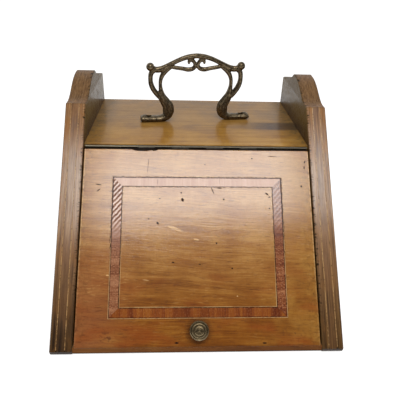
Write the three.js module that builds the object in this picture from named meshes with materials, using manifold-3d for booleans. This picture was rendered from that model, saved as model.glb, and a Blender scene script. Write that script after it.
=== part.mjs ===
// Slope-front coal box (purdonium) in inlaid mahogany: two shaped side panels, a fixed top board with
// a cast scroll handle, a lid on a continuous hinge, and a sheet-metal liner inside.
//
// Millimetres, +Z up. X runs across the box, +Y from the lid towards the back. While it is modelled,
// y = 0 is the front line where the sloping face meets the upright toe of the side panels.
import * as THREE from 'three';
import { mergeVertices } from 'three/addons/utils/BufferGeometryUtils.js';
import Module from 'manifold-3d';

const wasm = await Module();
wasm.setup();

// ---------------------------------------------------------------- driving sizes

// carcase
const INNER_WIDTH = 305; // between the two side panels
const SIDE_THICKNESS = 27;
const SIDE_DEPTH = 382; // toe to back edge
const SLOPE_DEG = 46.26; // front face above the floor
const TOE_HEIGHT = 8; // upright part below the slope
const TOE_RAKE = 3; // how far the toe leans back at the floor
const SHOULDER_HEIGHT = 241; // top of the slope
const SHOULDER_LEDGE = 11; // short flat behind the shoulder
const CREST_HEIGHT = 263.5; // top of the ogee
const CREST_FROM_BACK = 73;
const CREST_NOSE = 13; // rounded drop behind the crest
const NOSE_DROP = 5.5;
const TAIL_RUN = 30; // how the ogee sweeps out to the back edge
const TAIL_RISE = 9;
const TOE_EASE = 2; // corner taken off the toe at the floor
const SIDE_ARRIS = 1; // worn edge of the side panels
const BOARD_TOP = 197; // walking height of the top board
const TOP_BOARD_THICKNESS = 12;
const BACK_BOARD_THICKNESS = 9;
const BASE_BOARD_THICKNESS = 8;
const BASE_LIFT = 2.3; // underside of the base above the floor
const BASE_NOSE_SETBACK = 2.2; // front edge of the base behind the toe line
const HOUSING_DEPTH = 6; // how far the boards enter the side panels
const HOUSING_STOP = 10; // the housings end this far behind the boards' front edges
const WOOD_CLEARANCE = 0.2; // between glued wooden pieces
const BLOCK_SIZE = 14; // glue blocks under the top board
const BLOCK_LENGTH = 120;

// lid
const LID_THICKNESS = 16;
const LID_SIDE_GAP = 1.8;
const LID_REST_GAP = 0.3; // lid above the base board
const LID_TOP_DROP = 2.9; // lid's top edge below the top board's surface
const LID_LIP = 4.3; // flat along the lid's top edge

// inlay in the lid, measured on its sloping face
const BAND_WIDTH = 11.6;
const BAND_SIDE_MARGIN = 39.7; // lid's side edge to the banding
const BAND_BOTTOM = 35; // lid's lower edge to the banding
const BAND_TOP_MARGIN = 39.5; // lid's upper edge to the banding
const LINE_WIDTH = 0.9;
const INLAY_DEPTH = 1;
const INLAY_GAP = 0.1; // glue line round each strip

// stringing let into the edges of the side panels
const STRING_WIDTH = 1.1;
const STRING_DEPTH = 1;
const STRING_FROM_INSIDE = 8; // inner string to the inner face
const STRING_SPACING = 10.5;

// continuous hinge
const HINGE_DROP = 2.2; // pin centre below the top board's surface
const KNUCKLE_RADIUS = 1.9;
const HINGE_PIN_RADIUS = 0.9;
const PIN_CLEARANCE = 0.1;
const LEAF_THICKNESS = 1;
const LEAF_SETOUT = 1.5; // leaf's near face to the pin centre
const LEAF_BEDDING = 0.2; // leaf to the wood behind it
const LEAF_HEIGHT = 9.2; // pin centre down to the leaf's lower edge
const HINGE_END_GAP = 2; // to each side panel
const KNUCKLES = 13;
const KNUCKLE_GAP = 0.4;
const HINGE_SCREWS = 5; // in each leaf
const HINGE_SCREW_DROP = 5.6; // below the pin centre
const HINGE_SCREW_HEAD = 2.3;
const HINGE_SCREW_SHANK = 1.1;
const HINGE_SCREW_LENGTH = 7.5;
const SCREW_CLEARANCE = 0.2;

// knob
const KNOB_RADIUS = 11.8;
const KNOB_HEIGHT = 17.5;
const KNOB_FOOT_RADIUS = 6.8;
const KNOB_NECK_RADIUS = 4.6;
const KNOB_UP_SLOPE = 20.2; // from the lid's lower edge
const KNOB_SCREW_RADIUS = 2;
const KNOB_SCREW_GRIP = 9; // thread inside the knob
const KNOB_SCREW_HEAD = 3.2;
const KNOB_SCREW_HEAD_HEIGHT = 1.6;
const SEAT_GAP = 0.2; // between a fitted piece and the face it stands on

// cast handle; heights are above the top board
const HANDLE_HEIGHT = 100.6;
const HANDLE_ASKEW = 7.3; // degrees that the handle is turned on the board, left foot forward
const HANDLE_BALL_RADIUS = 6;
const HANDLE_ARCH_DEPTH = 3.5; // half depths, front to back
const HANDLE_SCROLL_DEPTH = 2.9;
const HANDLE_EAR_DEPTH = 3.6;
const HANDLE_LEG_DEPTH = 6;
const HANDLE_FOOT_DEPTH = 7.5;
const HANDLE_SCREW_HEAD = 3.6;
const HANDLE_SCREW_SHANK = 1.7;
const HANDLE_SCREW_LENGTH = 15;
const HANDLE_SCREW_SEAT = 5.2; // top of the screw head above the board

// liner
const LINER_WALL = 1.2;
const LINER_SIDE_GAP = 6; // to the side panels
const LINER_BACK_GAP = 6;
const LINER_LID_GAP = 7; // along the depth, to the lid's inner face
const LINER_FRONT_HEIGHT = 42;
const LINER_BACK_HEIGHT = 142;
const LINER_RIM = 2; // folded edge standing out from the wall
const LINER_RIM_HEIGHT = 6;
const GRIP_LENGTH = 90;
const GRIP_REACH = 17;
const GRIP_RADIUS = 2.6;
const GRIP_HEIGHT = 22; // above the liner's floor
const GRIP_PLATE = 1.6;
const GRIP_PLATE_RADIUS = 9;
const RIVET_RADIUS = 1.6;
const RIVET_HEAD = 3;
const RIVET_HEAD_HEIGHT = 1.2;
const RIVET_OFFSET = 5.6; // rivet from the grip's end, above and below

// shovel socket on the back
const SOCKET_WIDTH = 40; // inside
const SOCKET_DEPTH = 12; // inside
const SOCKET_HEIGHT = 28;
const SOCKET_STRIP = 1.5;
const SOCKET_EAR = 14;
const SOCKET_CENTRE_HEIGHT = 125;
const SOCKET_SCREW_SPREAD = 8; // above and below the socket's middle
const SOCKET_SCREW_HEAD = 2.8;
const SOCKET_SCREW_SHANK = 1.4;
const SOCKET_SCREW_LENGTH = 8;

// ---------------------------------------------------------------- derived places

const rad = THREE.MathUtils.degToRad;
const HALF_INNER = INNER_WIDTH / 2;
const SLOPE = rad(SLOPE_DEG);
const slopeY = (z) => (z - TOE_HEIGHT) / Math.tan(SLOPE); // y of the front face at a height
const lidInnerY = (z) => slopeY(z) + LID_THICKNESS / Math.sin(SLOPE);
const BASE_TOP = BASE_LIFT + BASE_BOARD_THICKNESS;
const LID_BOTTOM = BASE_TOP + LID_REST_GAP;
const LID_TOP = BOARD_TOP - LID_TOP_DROP;
const LID_HALF_WIDTH = HALF_INNER - LID_SIDE_GAP;
const BAND_OUTER_HALF_WIDTH = LID_HALF_WIDTH - BAND_SIDE_MARGIN;
const BAND_TOP = (LID_TOP - LID_BOTTOM) / Math.sin(SLOPE) - BAND_TOP_MARGIN;
const HINGE_LENGTH = INNER_WIDTH - 2 * HINGE_END_GAP;
const LEAF_OUT = LEAF_SETOUT + LEAF_THICKNESS + LEAF_BEDDING; // pin centre to the wood
const LID_EDGE_Y = slopeY(LID_TOP) + LID_LIP;
const HINGE_Y = LID_EDGE_Y + LEAF_OUT;
const HINGE_Z = BOARD_TOP - HINGE_DROP;
const BOARD_FRONT = HINGE_Y + LEAF_OUT;
const BOARD_BOTTOM = BOARD_TOP - TOP_BOARD_THICKNESS;
const BACK_INNER = SIDE_DEPTH - BACK_BOARD_THICKNESS;
const HANDLE_Y = (BOARD_FRONT + SIDE_DEPTH) / 2;
const handleScale = HANDLE_HEIGHT / 100; // the handle is drawn in hundredths of its height
const HANDLE_SCREW_X = HANDLE_HEIGHT * 0.714; // middle of a foot

// the lid's own frame: origin on its outer face at the lower edge, x across, y up the slope, z outwards
const lidFrame = new THREE.Matrix4()
  .makeRotationX(SLOPE)
  .setPosition(0, slopeY(LID_BOTTOM), LID_BOTTOM);

// ---------------------------------------------------------------- helpers

// A closed solid from a three.js geometry, with its shared corners merged.
function solidOf(geometry) {
  const bare = geometry.index ? geometry.toNonIndexed() : geometry.clone();
  bare.deleteAttribute('normal');
  bare.deleteAttribute('uv');
  const merged = mergeVertices(bare, 1e-4);
  return new wasm.Manifold(new wasm.Mesh({
    numProp: 3,
    vertProperties: new Float32Array(merged.attributes.position.array),
    triVerts: new Uint32Array(merged.index.array),
  }));
}

function geometryOf(solid) {
  const mesh = solid.getMesh();
  const geometry = new THREE.BufferGeometry();
  geometry.setAttribute('position', new THREE.BufferAttribute(new Float32Array(mesh.vertProperties), 3));
  geometry.setIndex(new THREE.BufferAttribute(new Uint32Array(mesh.triVerts), 1));
  return geometry;
}

const joined = (solids) => solids.reduce((whole, one) => whole.add(one));
const cut = (solid, tools) => tools.reduce((rest, tool) => rest.subtract(tool), solid);

// A box between two corners.
function block(x0, x1, y0, y1, z0, z1) {
  const geometry = new THREE.BoxGeometry(x1 - x0, y1 - y0, z1 - z0);
  return solidOf(geometry.translate((x0 + x1) / 2, (y0 + y1) / 2, (z0 + z1) / 2));
}

// An outline drawn in y and z, made solid from x0 to x1, with softened arrises if asked.
function prism(shape, x0, x1, arris = 0) {
  const geometry = new THREE.ExtrudeGeometry(shape, {
    depth: x1 - x0 - 2 * arris,
    bevelEnabled: arris > 0,
    bevelThickness: arris,
    bevelSize: arris,
    bevelOffset: -arris,
    bevelSegments: 1,
    curveSegments: 10,
  });
  geometry.translate(0, 0, x0 + arris);
  geometry.applyMatrix4(new THREE.Matrix4().makeBasis(
    new THREE.Vector3(0, 1, 0), new THREE.Vector3(0, 0, 1), new THREE.Vector3(1, 0, 0),
  ));
  return solidOf(geometry);
}

const polygon = (points) => new THREE.Shape(points.map(([a, b]) => new THREE.Vector2(a, b)));

// A turned solid from [radius, height] pairs, standing on the origin along +Z.
function turned(profile, segments) {
  const points = profile.map(([r, h]) => new THREE.Vector2(r, h));
  const geometry = new THREE.LatheGeometry(points, segments);
  return solidOf(geometry.rotateX(Math.PI / 2));
}

const rod = (radius, z0, z1, segments = 12) => turned(
  [[0, z0], [radius, z0], [radius, z1], [0, z1]], segments,
);

// A countersunk screw pointing down -Z, its flat head at height 0.
const countersunk = (head, shank, length) => turned([
  [0, -length],
  [shank * 0.5, -length + shank],
  [shank, -length + 3 * shank],
  [shank, -head + shank],
  [head, 0],
  [0, 0],
], 10);

// Moves a solid by a matrix.
const placed = (solid, matrix) => solidOf(geometryOf(solid).applyMatrix4(matrix));
const shift = (x, y, z) => new THREE.Matrix4().makeTranslation(x, y, z);

// A bar with a rounded section swept through stations [x, z, half width], drawn in hundredths of the
// handle's height, in the plane y = 0. The half depth in y runs from depth0 to depth1.
function castBar(stations, depth0, depth1, steps, sides = 8) {
  const points = stations.map(([x, z, w]) => new THREE.Vector3(x, z, w).multiplyScalar(handleScale));
  const spine = new THREE.CatmullRomCurve3(points, false, 'centripetal');
  const positions = [];
  const index = [];
  for (let i = 0; i <= steps; i += 1) {
    const t = i / steps;
    const at = spine.getPoint(t);
    const ahead = spine.getPoint(Math.min(1, t + 0.01));
    const behind = spine.getPoint(Math.max(0, t - 0.01));
    const run = Math.hypot(ahead.x - behind.x, ahead.y - behind.y);
    const nx = -(ahead.y - behind.y) / run;
    const nz = (ahead.x - behind.x) / run;
    const depth = THREE.MathUtils.lerp(depth0, depth1, t);
    for (let k = 0; k < sides; k += 1) {
      const angle = (2 * Math.PI * k) / sides;
      const across = at.z * Math.cos(angle);
      positions.push(at.x + nx * across, depth * Math.sin(angle), at.y + nz * across);
    }
  }
  for (let i = 0; i < steps; i += 1) {
    for (let k = 0; k < sides; k += 1) {
      const a = i * sides + k;
      const b = i * sides + ((k + 1) % sides);
      index.push(a, a + sides, b, b, a + sides, b + sides);
    }
  }
  for (let k = 1; k < sides - 1; k += 1) {
    index.push(0, k, k + 1);
    index.push(steps * sides, steps * sides + k + 1, steps * sides + k);
  }
  const geometry = new THREE.BufferGeometry();
  geometry.setAttribute('position', new THREE.Float32BufferAttribute(positions, 3));
  geometry.setIndex(index);
  const solid = solidOf(geometry);
  return solid.volume() < 0 ? solidOf(flipped(geometry)) : solid;
}

function flipped(geometry) {
  const turnedOver = geometry.clone();
  const order = Array.from(turnedOver.index.array);
  for (let i = 0; i < order.length; i += 3) [order[i], order[i + 1]] = [order[i + 1], order[i]];
  turnedOver.setIndex(order);
  return turnedOver;
}

const sideSwap = new THREE.Matrix4().makeScale(-1, 1, 1);
const mirroredX = (solid) => solidOf(flipped(geometryOf(solid).applyMatrix4(sideSwap)));

// ---------------------------------------------------------------- materials

const finish = (color, roughness, metalness = 0) => ({ color, roughness, metalness });
const DARK_MAHOGANY = finish(0x4a3020, 0.45);
const TOP_MAHOGANY = finish(0x8a6238, 0.38);
const LID_MAHOGANY = finish(0x8f5a2c, 0.38);
const PLAIN_WOOD = finish(0x7a5a3c, 0.75);
const BOXWOOD = finish(0xa98a5a, 0.45);
const SATINWOOD = finish(0x9c5a38, 0.42);
const DARK_STRING = finish(0x2a1a12, 0.5);
const AGED_BRASS = finish(0x5e5340, 0.4, 0.9);
const KNOB_BRASS = finish(0x6e6248, 0.4, 0.9);
const STEEL = finish(0x8c8a84, 0.4, 1);
const SCREW_STEEL = finish(0x5a564e, 0.5, 1);
const JAPANNED = finish(0x1c1b1a, 0.55, 0.3);

const box = new THREE.Group();
box.name = 'coal_box';

function addPiece(name, solid, look, parent = box) {
  const mesh = new THREE.Mesh(geometryOf(solid), new THREE.MeshStandardMaterial(look));
  mesh.name = name;
  parent.add(mesh);
  return mesh;
}

// ---------------------------------------------------------------- side panels

const SHOULDER_Y = slopeY(SHOULDER_HEIGHT);
const CREST_Y = SIDE_DEPTH - CREST_FROM_BACK;
const NOSE_Y = CREST_Y + CREST_NOSE;
const BACK_HEIGHT = SHOULDER_HEIGHT; // the panel is as high at the back as at the shoulder

// The show edge: up the slope, over the shoulder and along the ogee to the back.
function showEdge() {
  const edge = new THREE.Path();
  const rise = CREST_HEIGHT - SHOULDER_HEIGHT;
  const ledgeEnd = SHOULDER_Y + SHOULDER_LEDGE;
  const noseZ = CREST_HEIGHT - NOSE_DROP;
  edge.moveTo(0, TOE_HEIGHT);
  edge.lineTo(SHOULDER_Y, SHOULDER_HEIGHT);
  edge.lineTo(ledgeEnd, SHOULDER_HEIGHT);
  edge.bezierCurveTo(
    ledgeEnd + rise, SHOULDER_HEIGHT + 1,
    CREST_Y - 1.6 * rise, CREST_HEIGHT,
    CREST_Y, CREST_HEIGHT,
  );
  edge.quadraticCurveTo(CREST_Y + 0.7 * CREST_NOSE, CREST_HEIGHT, NOSE_Y, noseZ);
  edge.bezierCurveTo(
    NOSE_Y + 0.5 * CREST_NOSE, noseZ - NOSE_DROP,
    SIDE_DEPTH - TAIL_RUN, BACK_HEIGHT + TAIL_RISE,
    SIDE_DEPTH, BACK_HEIGHT,
  );
  return edge.getPoints(8);
}

// Sampled show edge without doubled points.
const EDGE = showEdge().filter((p, i, all) => i === 0 || p.distanceTo(all[i - 1]) > 0.01);

function sideOutline() {
  const shape = new THREE.Shape();
  shape.moveTo(SIDE_DEPTH, 0);
  for (const p of [...EDGE].reverse()) shape.lineTo(p.x, p.y);
  shape.lineTo(TOE_RAKE / 3, TOE_HEIGHT * 0.4);
  shape.lineTo(TOE_RAKE, TOE_EASE * 0.4);
  shape.lineTo(TOE_RAKE + TOE_EASE, 0);
  shape.closePath();
  return shape;
}

// A ribbon that follows the show edge between two depths below it (a negative depth stands proud).
function edgeRibbon(depth0, depth1, endInset) {
  const last = EDGE.length - 1;
  const run = (i) => new THREE.Vector2().subVectors(EDGE[i + 1], EDGE[i]).normalize();
  const line = (depth) => EDGE.map((p, i) => {
    const before = run(Math.max(0, i - 1));
    const after = run(Math.min(last - 1, i));
    const mean = before.clone().add(after).normalize();
    const q = p.clone().addScaledVector(new THREE.Vector2(mean.y, -mean.x), depth / mean.dot(before));
    if (i === 0) q.addScaledVector(after, endInset);
    if (i === last) q.addScaledVector(before, -endInset);
    return q;
  });
  return new THREE.Shape([...line(depth0), ...line(depth1).reverse()]);
}

// A board between the side panels whose ends run on into them as tongues.
function boardWithTongues(y0, y1, z0, z1, tongueY0, tongueY1) {
  const reach = HALF_INNER + HOUSING_DEPTH;
  const body = block(-HALF_INNER, HALF_INNER, y0, y1, z0, z1);
  return body.add(block(-reach, reach, tongueY0, tongueY1, z0, z1));
}

// The room that a board's tongues need in the side panels.
function housing(y0, y1, z0, z1, tongueY0, tongueY1) {
  const reach = HALF_INNER + HOUSING_DEPTH + WOOD_CLEARANCE;
  return block(-reach, reach, tongueY0 - WOOD_CLEARANCE, tongueY1 + WOOD_CLEARANCE,
    z0 - WOOD_CLEARANCE, z1 + WOOD_CLEARANCE);
}

const TOP_BOARD = [BOARD_FRONT, SIDE_DEPTH - WOOD_CLEARANCE, BOARD_BOTTOM, BOARD_TOP,
  BOARD_FRONT + HOUSING_STOP, SIDE_DEPTH - WOOD_CLEARANCE];
const BASE_BOARD = [BASE_NOSE_SETBACK, BACK_INNER - WOOD_CLEARANCE, BASE_LIFT, BASE_TOP,
  BASE_NOSE_SETBACK + 2 * HOUSING_STOP, BACK_INNER - WOOD_CLEARANCE];
const BACK_BOARD = [BACK_INNER, SIDE_DEPTH - WOOD_CLEARANCE, BASE_LIFT, BOARD_BOTTOM - WOOD_CLEARANCE,
  BACK_INNER, SIDE_DEPTH - WOOD_CLEARANCE];

// The back board's housing is open to the rear.
const housings = joined([
  housing(...TOP_BOARD),
  housing(...BASE_BOARD),
  housing(...BACK_BOARD),
  housing(BACK_INNER, SIDE_DEPTH + 1, BASE_LIFT, BOARD_BOTTOM - WOOD_CLEARANCE, BACK_INNER, SIDE_DEPTH + 1),
]);

const STRINGS = [STRING_FROM_INSIDE, STRING_FROM_INSIDE + STRING_SPACING];
for (const [side, sign] of [['left', -1], ['right', 1]]) {
  const span = (a, b) => (sign > 0 ? [HALF_INNER + a, HALF_INNER + b] : [-HALF_INNER - b, -HALF_INNER - a]);
  const panel = prism(sideOutline(), ...span(0, SIDE_THICKNESS), SIDE_ARRIS);
  const grooves = STRINGS.map((at) => prism(
    edgeRibbon(-1, STRING_DEPTH + INLAY_GAP, 0), ...span(at - INLAY_GAP, at + STRING_WIDTH + INLAY_GAP),
  ));
  addPiece(`${side}_side_panel`, cut(panel, [housings, ...grooves]), DARK_MAHOGANY);
  STRINGS.forEach((at, i) => addPiece(
    `${side}_${i ? 'outer' : 'inner'}_string`,
    prism(edgeRibbon(0, STRING_DEPTH, 2), ...span(at, at + STRING_WIDTH)),
    BOXWOOD,
  ));
}

// ---------------------------------------------------------------- boards

const screwAt = (x, y, z, head, shank, length) => placed(
  countersunk(head, shank, length), shift(x, y, z),
);
const onHandle = (solid) => placed(solid, shift(0, HANDLE_Y, BOARD_TOP).multiply(
  new THREE.Matrix4().makeRotationZ(THREE.MathUtils.degToRad(HANDLE_ASKEW)),
));
const handleScrew = (x, spare) => screwAt(
  x, 0, HANDLE_SCREW_SEAT, HANDLE_SCREW_HEAD + spare, HANDLE_SCREW_SHANK + spare,
  HANDLE_SCREW_LENGTH + 2 * spare,
);

// hinge screws point into the wood: back into the top board, forward into the lid
const hingeScrewX = Array.from({ length: HINGE_SCREWS }, (_, i) => (
  ((i + 0.5) / HINGE_SCREWS - 0.5) * HINGE_LENGTH
));
function hingeScrew(x, direction, spare) {
  const screw = countersunk(
    HINGE_SCREW_HEAD + spare, HINGE_SCREW_SHANK + spare, HINGE_SCREW_LENGTH + 2 * spare,
  );
  const turn = new THREE.Matrix4().makeRotationX(direction * Math.PI / 2);
  const face = shift(x, HINGE_Y + direction * LEAF_SETOUT, HINGE_Z - HINGE_SCREW_DROP);
  return placed(screw, face.multiply(turn));
}

addPiece('top_board', cut(boardWithTongues(...TOP_BOARD), [
  ...[-1, 1].map((s) => onHandle(handleScrew(s * HANDLE_SCREW_X, SCREW_CLEARANCE))),
  ...hingeScrewX.map((x) => hingeScrew(x, 1, SCREW_CLEARANCE)),
]), TOP_MAHOGANY);
addPiece('base_board', boardWithTongues(...BASE_BOARD), PLAIN_WOOD);

const socketScrews = [-1, 1].flatMap((sx) => [-1, 1].map((sz) => ({
  name: `socket_screw_${sz > 0 ? 'upper' : 'lower'}_${sx > 0 ? 'right' : 'left'}`,
  x: sx * (SOCKET_WIDTH / 2 + SOCKET_STRIP + SOCKET_EAR / 2),
  z: SOCKET_CENTRE_HEIGHT + sz * SOCKET_SCREW_SPREAD,
})));
const SOCKET_BACK = SIDE_DEPTH - WOOD_CLEARANCE + SEAT_GAP; // face of the socket's ears towards the board
function socketScrew({ x, z }, spare) {
  const screw = countersunk(
    SOCKET_SCREW_HEAD + spare, SOCKET_SCREW_SHANK + spare, SOCKET_SCREW_LENGTH + 2 * spare,
  );
  const turn = new THREE.Matrix4().makeRotationX(-Math.PI / 2);
  return placed(screw, shift(x, SOCKET_BACK + SOCKET_STRIP, z).multiply(turn));
}
addPiece('back_board', cut(
  boardWithTongues(...BACK_BOARD), socketScrews.map((screw) => socketScrew(screw, SCREW_CLEARANCE)),
), PLAIN_WOOD);

const blockMiddle = (BOARD_FRONT + BACK_INNER) / 2;
for (const [side, sign] of [['left', -1], ['right', 1]]) {
  const outer = sign * HALF_INNER;
  const inner = sign * (HALF_INNER - BLOCK_SIZE);
  const corner = block(
    Math.min(outer, inner), Math.max(outer, inner),
    blockMiddle - BLOCK_LENGTH / 2, blockMiddle + BLOCK_LENGTH / 2,
    BOARD_BOTTOM - BLOCK_SIZE, BOARD_BOTTOM,
  );
  addPiece(`${side}_glue_block`, corner, PLAIN_WOOD);
}

// ---------------------------------------------------------------- lid

const lid = new THREE.Group();
box.add(lid);

const lidOutline = polygon([
  [slopeY(LID_BOTTOM), LID_BOTTOM],
  [slopeY(LID_TOP), LID_TOP],
  [LID_EDGE_Y, LID_TOP],
  [LID_EDGE_Y, TOE_HEIGHT + (LID_EDGE_Y - lidInnerY(TOE_HEIGHT)) * Math.tan(SLOPE)],
  [lidInnerY(LID_BOTTOM), LID_BOTTOM],
].reverse());

// One side of a mitred frame in the lid's plane: side 0 bottom, 1 right, 2 top, 3 left.
function mitredStrip(outerInset, width, side) {
  const x = BAND_OUTER_HALF_WIDTH - outerInset;
  const y0 = BAND_BOTTOM + outerInset;
  const y1 = BAND_TOP - outerInset;
  const corners = [[-x, y0], [x, y0], [x, y1], [-x, y1]];
  const inner = [
    [-x + width, y0 + width], [x - width, y0 + width],
    [x - width, y1 - width], [-x + width, y1 - width],
  ];
  const next = (side + 1) % 4;
  return [corners[side], corners[next], inner[next], inner[side]];
}

// The frame's three strips, from the outside in: dark line, banding, dark line.
const FRAME_STRIPS = [
  { name: 'outer_line', inset: -LINE_WIDTH, width: LINE_WIDTH, look: DARK_STRING },
  { name: 'banding', inset: 0, width: BAND_WIDTH, look: SATINWOOD },
  { name: 'inner_line', inset: BAND_WIDTH, width: LINE_WIDTH, look: DARK_STRING },
];
const SIDES = ['bottom', 'right', 'top', 'left'];

// One strip, drawn in by half the glue gap on every side and let into the lid.
function stripSolid(inset, width, side) {
  const points = mitredStrip(inset, width, side).map(([x, y]) => new THREE.Vector2(x, y));
  const drawnIn = points.map((p, i) => {
    const before = points[(i + 3) % 4];
    const after = points[(i + 1) % 4];
    const a = p.clone().sub(before).normalize();
    const b = after.clone().sub(p).normalize();
    const bisector = new THREE.Vector2(-(a.y + b.y), a.x + b.x).normalize();
    const sine = bisector.dot(new THREE.Vector2(-a.y, a.x));
    return p.clone().addScaledVector(bisector, (INLAY_GAP / 2) / sine);
  });
  const geometry = new THREE.ExtrudeGeometry(new THREE.Shape(drawnIn), {
    depth: INLAY_DEPTH - INLAY_GAP, bevelEnabled: false,
  });
  geometry.translate(0, 0, -(INLAY_DEPTH - INLAY_GAP));
  return solidOf(geometry.applyMatrix4(lidFrame));
}

function framePocket() {
  const x = BAND_OUTER_HALF_WIDTH + LINE_WIDTH;
  const inner = BAND_WIDTH + LINE_WIDTH;
  const ring = polygon([
    [-x, BAND_BOTTOM - LINE_WIDTH], [x, BAND_BOTTOM - LINE_WIDTH],
    [x, BAND_TOP + LINE_WIDTH], [-x, BAND_TOP + LINE_WIDTH],
  ]);
  const hx = BAND_OUTER_HALF_WIDTH - inner;
  ring.holes.push(new THREE.Path([
    new THREE.Vector2(-hx, BAND_BOTTOM + inner), new THREE.Vector2(-hx, BAND_TOP - inner),
    new THREE.Vector2(hx, BAND_TOP - inner), new THREE.Vector2(hx, BAND_BOTTOM + inner),
  ]));
  const geometry = new THREE.ExtrudeGeometry(ring, { depth: INLAY_DEPTH + 1, bevelEnabled: false });
  return solidOf(geometry.translate(0, 0, -INLAY_DEPTH).applyMatrix4(lidFrame));
}

const onLid = (solid) => placed(solid, lidFrame);
const knobHole = onLid(placed(rod(KNOB_SCREW_RADIUS + SCREW_CLEARANCE, -LID_THICKNESS - 2, 2),
  shift(0, KNOB_UP_SLOPE, 0)));

addPiece('lid_panel', cut(prism(lidOutline, -LID_HALF_WIDTH, LID_HALF_WIDTH), [
  framePocket(),
  knobHole,
  ...hingeScrewX.map((x) => hingeScrew(x, -1, SCREW_CLEARANCE)),
]), LID_MAHOGANY, lid);

for (const { name, inset, width, look } of FRAME_STRIPS) {
  SIDES.forEach((where, side) => addPiece(`${name}_${where}`, stripSolid(inset, width, side), look, lid));
}

// ---------------------------------------------------------------- continuous hinge

const KNUCKLE_PITCH = HINGE_LENGTH / KNUCKLES;
const knuckleAt = (i) => -HINGE_LENGTH / 2 + i * KNUCKLE_PITCH;

// A leaf with every second knuckle: direction 1 stands against the top board, -1 against the lid.
const toX = (solid) => placed(solid, new THREE.Matrix4().makeRotationY(Math.PI / 2));
function hingeLeaf(direction) {
  const near = HINGE_Y + direction * LEAF_SETOUT;
  const far = near + direction * LEAF_THICKNESS;
  const plate = block(-HINGE_LENGTH / 2, HINGE_LENGTH / 2, Math.min(near, far), Math.max(near, far),
    HINGE_Z - LEAF_HEIGHT, HINGE_Z);
  const knuckles = [];
  const gaps = [];
  const reach = KNUCKLE_RADIUS + KNUCKLE_GAP;
  for (let i = 0; i < KNUCKLES; i += 1) {
    const x0 = knuckleAt(i);
    const x1 = knuckleAt(i + 1);
    if (i % 2 === (direction > 0 ? 0 : 1)) {
      const barrel = toX(rod(KNUCKLE_RADIUS, x0, x1, 10));
      knuckles.push(placed(barrel, shift(0, HINGE_Y, HINGE_Z)));
    } else {
      gaps.push(block(
        x0 - (i === 0 ? 1 : KNUCKLE_GAP), x1 + (i === KNUCKLES - 1 ? 1 : KNUCKLE_GAP),
        HINGE_Y - reach - 1, HINGE_Y + reach + 1, HINGE_Z - reach, HINGE_Z + reach,
      ));
    }
  }
  const bore = placed(toX(rod(HINGE_PIN_RADIUS + PIN_CLEARANCE, -HINGE_LENGTH, HINGE_LENGTH, 8)),
    shift(0, HINGE_Y, HINGE_Z));
  const holes = hingeScrewX.map((x) => hingeScrew(x, direction, SCREW_CLEARANCE));
  return cut(joined([plate, ...knuckles]), [...gaps, bore, ...holes]);
}

addPiece('hinge_board_leaf', hingeLeaf(1), STEEL);
addPiece('hinge_lid_leaf', hingeLeaf(-1), STEEL, lid);
addPiece('hinge_pin', placed(
  toX(rod(HINGE_PIN_RADIUS, -HINGE_LENGTH / 2, HINGE_LENGTH / 2, 8)), shift(0, HINGE_Y, HINGE_Z),
), STEEL);
hingeScrewX.forEach((x, i) => {
  addPiece(`hinge_board_screw_${i + 1}`, hingeScrew(x, 1, 0), SCREW_STEEL);
  addPiece(`hinge_lid_screw_${i + 1}`, hingeScrew(x, -1, 0), SCREW_STEEL, lid);
});

// ---------------------------------------------------------------- knob

// Turned brass: a stepped foot, a waist, and a domed head with rings round a dimple.
function knobSolid() {
  const r = (share) => KNOB_RADIUS * share;
  const h = (share) => KNOB_HEIGHT * share;
  const body = turned([
    [0, 0],
    [KNOB_FOOT_RADIUS, 0],
    [KNOB_FOOT_RADIUS, h(0.1)],
    [KNOB_NECK_RADIUS + r(0.07), h(0.16)],
    [KNOB_NECK_RADIUS, h(0.275)],
    [KNOB_NECK_RADIUS + r(0.055), h(0.4)],
    [r(0.79), h(0.525)],
    [r(0.96), h(0.62)],
    [r(1), h(0.7)],
    [r(0.945), h(0.79)],
    [r(0.86), h(0.83)],
    [r(0.815), h(0.805)],
    [r(0.71), h(0.895)],
    [r(0.63), h(0.915)],
    [r(0.57), h(0.885)],
    [r(0.475), h(0.96)],
    [r(0.38), h(1)],
    [r(0.285), h(0.99)],
    [r(0.17), h(0.93)],
    [0, h(0.91)],
  ], 20);
  return body.subtract(rod(KNOB_SCREW_RADIUS + SCREW_CLEARANCE, -1, KNOB_SCREW_GRIP + 1));
}
addPiece('lid_knob', onLid(placed(knobSolid(), shift(0, KNOB_UP_SLOPE, SEAT_GAP))), KNOB_BRASS, lid);

const knobScrewHeadAt = -LID_THICKNESS - SEAT_GAP;
addPiece('knob_screw', onLid(placed(turned([
  [0, knobScrewHeadAt - KNOB_SCREW_HEAD_HEIGHT],
  [KNOB_SCREW_HEAD * 0.7, knobScrewHeadAt - KNOB_SCREW_HEAD_HEIGHT],
  [KNOB_SCREW_HEAD, knobScrewHeadAt - KNOB_SCREW_HEAD_HEIGHT / 2],
  [KNOB_SCREW_HEAD, knobScrewHeadAt],
  [KNOB_SCREW_RADIUS, knobScrewHeadAt],
  [KNOB_SCREW_RADIUS, KNOB_SCREW_GRIP],
  [0, KNOB_SCREW_GRIP],
], 12), shift(0, KNOB_UP_SLOPE, 0))), SCREW_STEEL, lid);

// ---------------------------------------------------------------- cast handle

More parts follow.
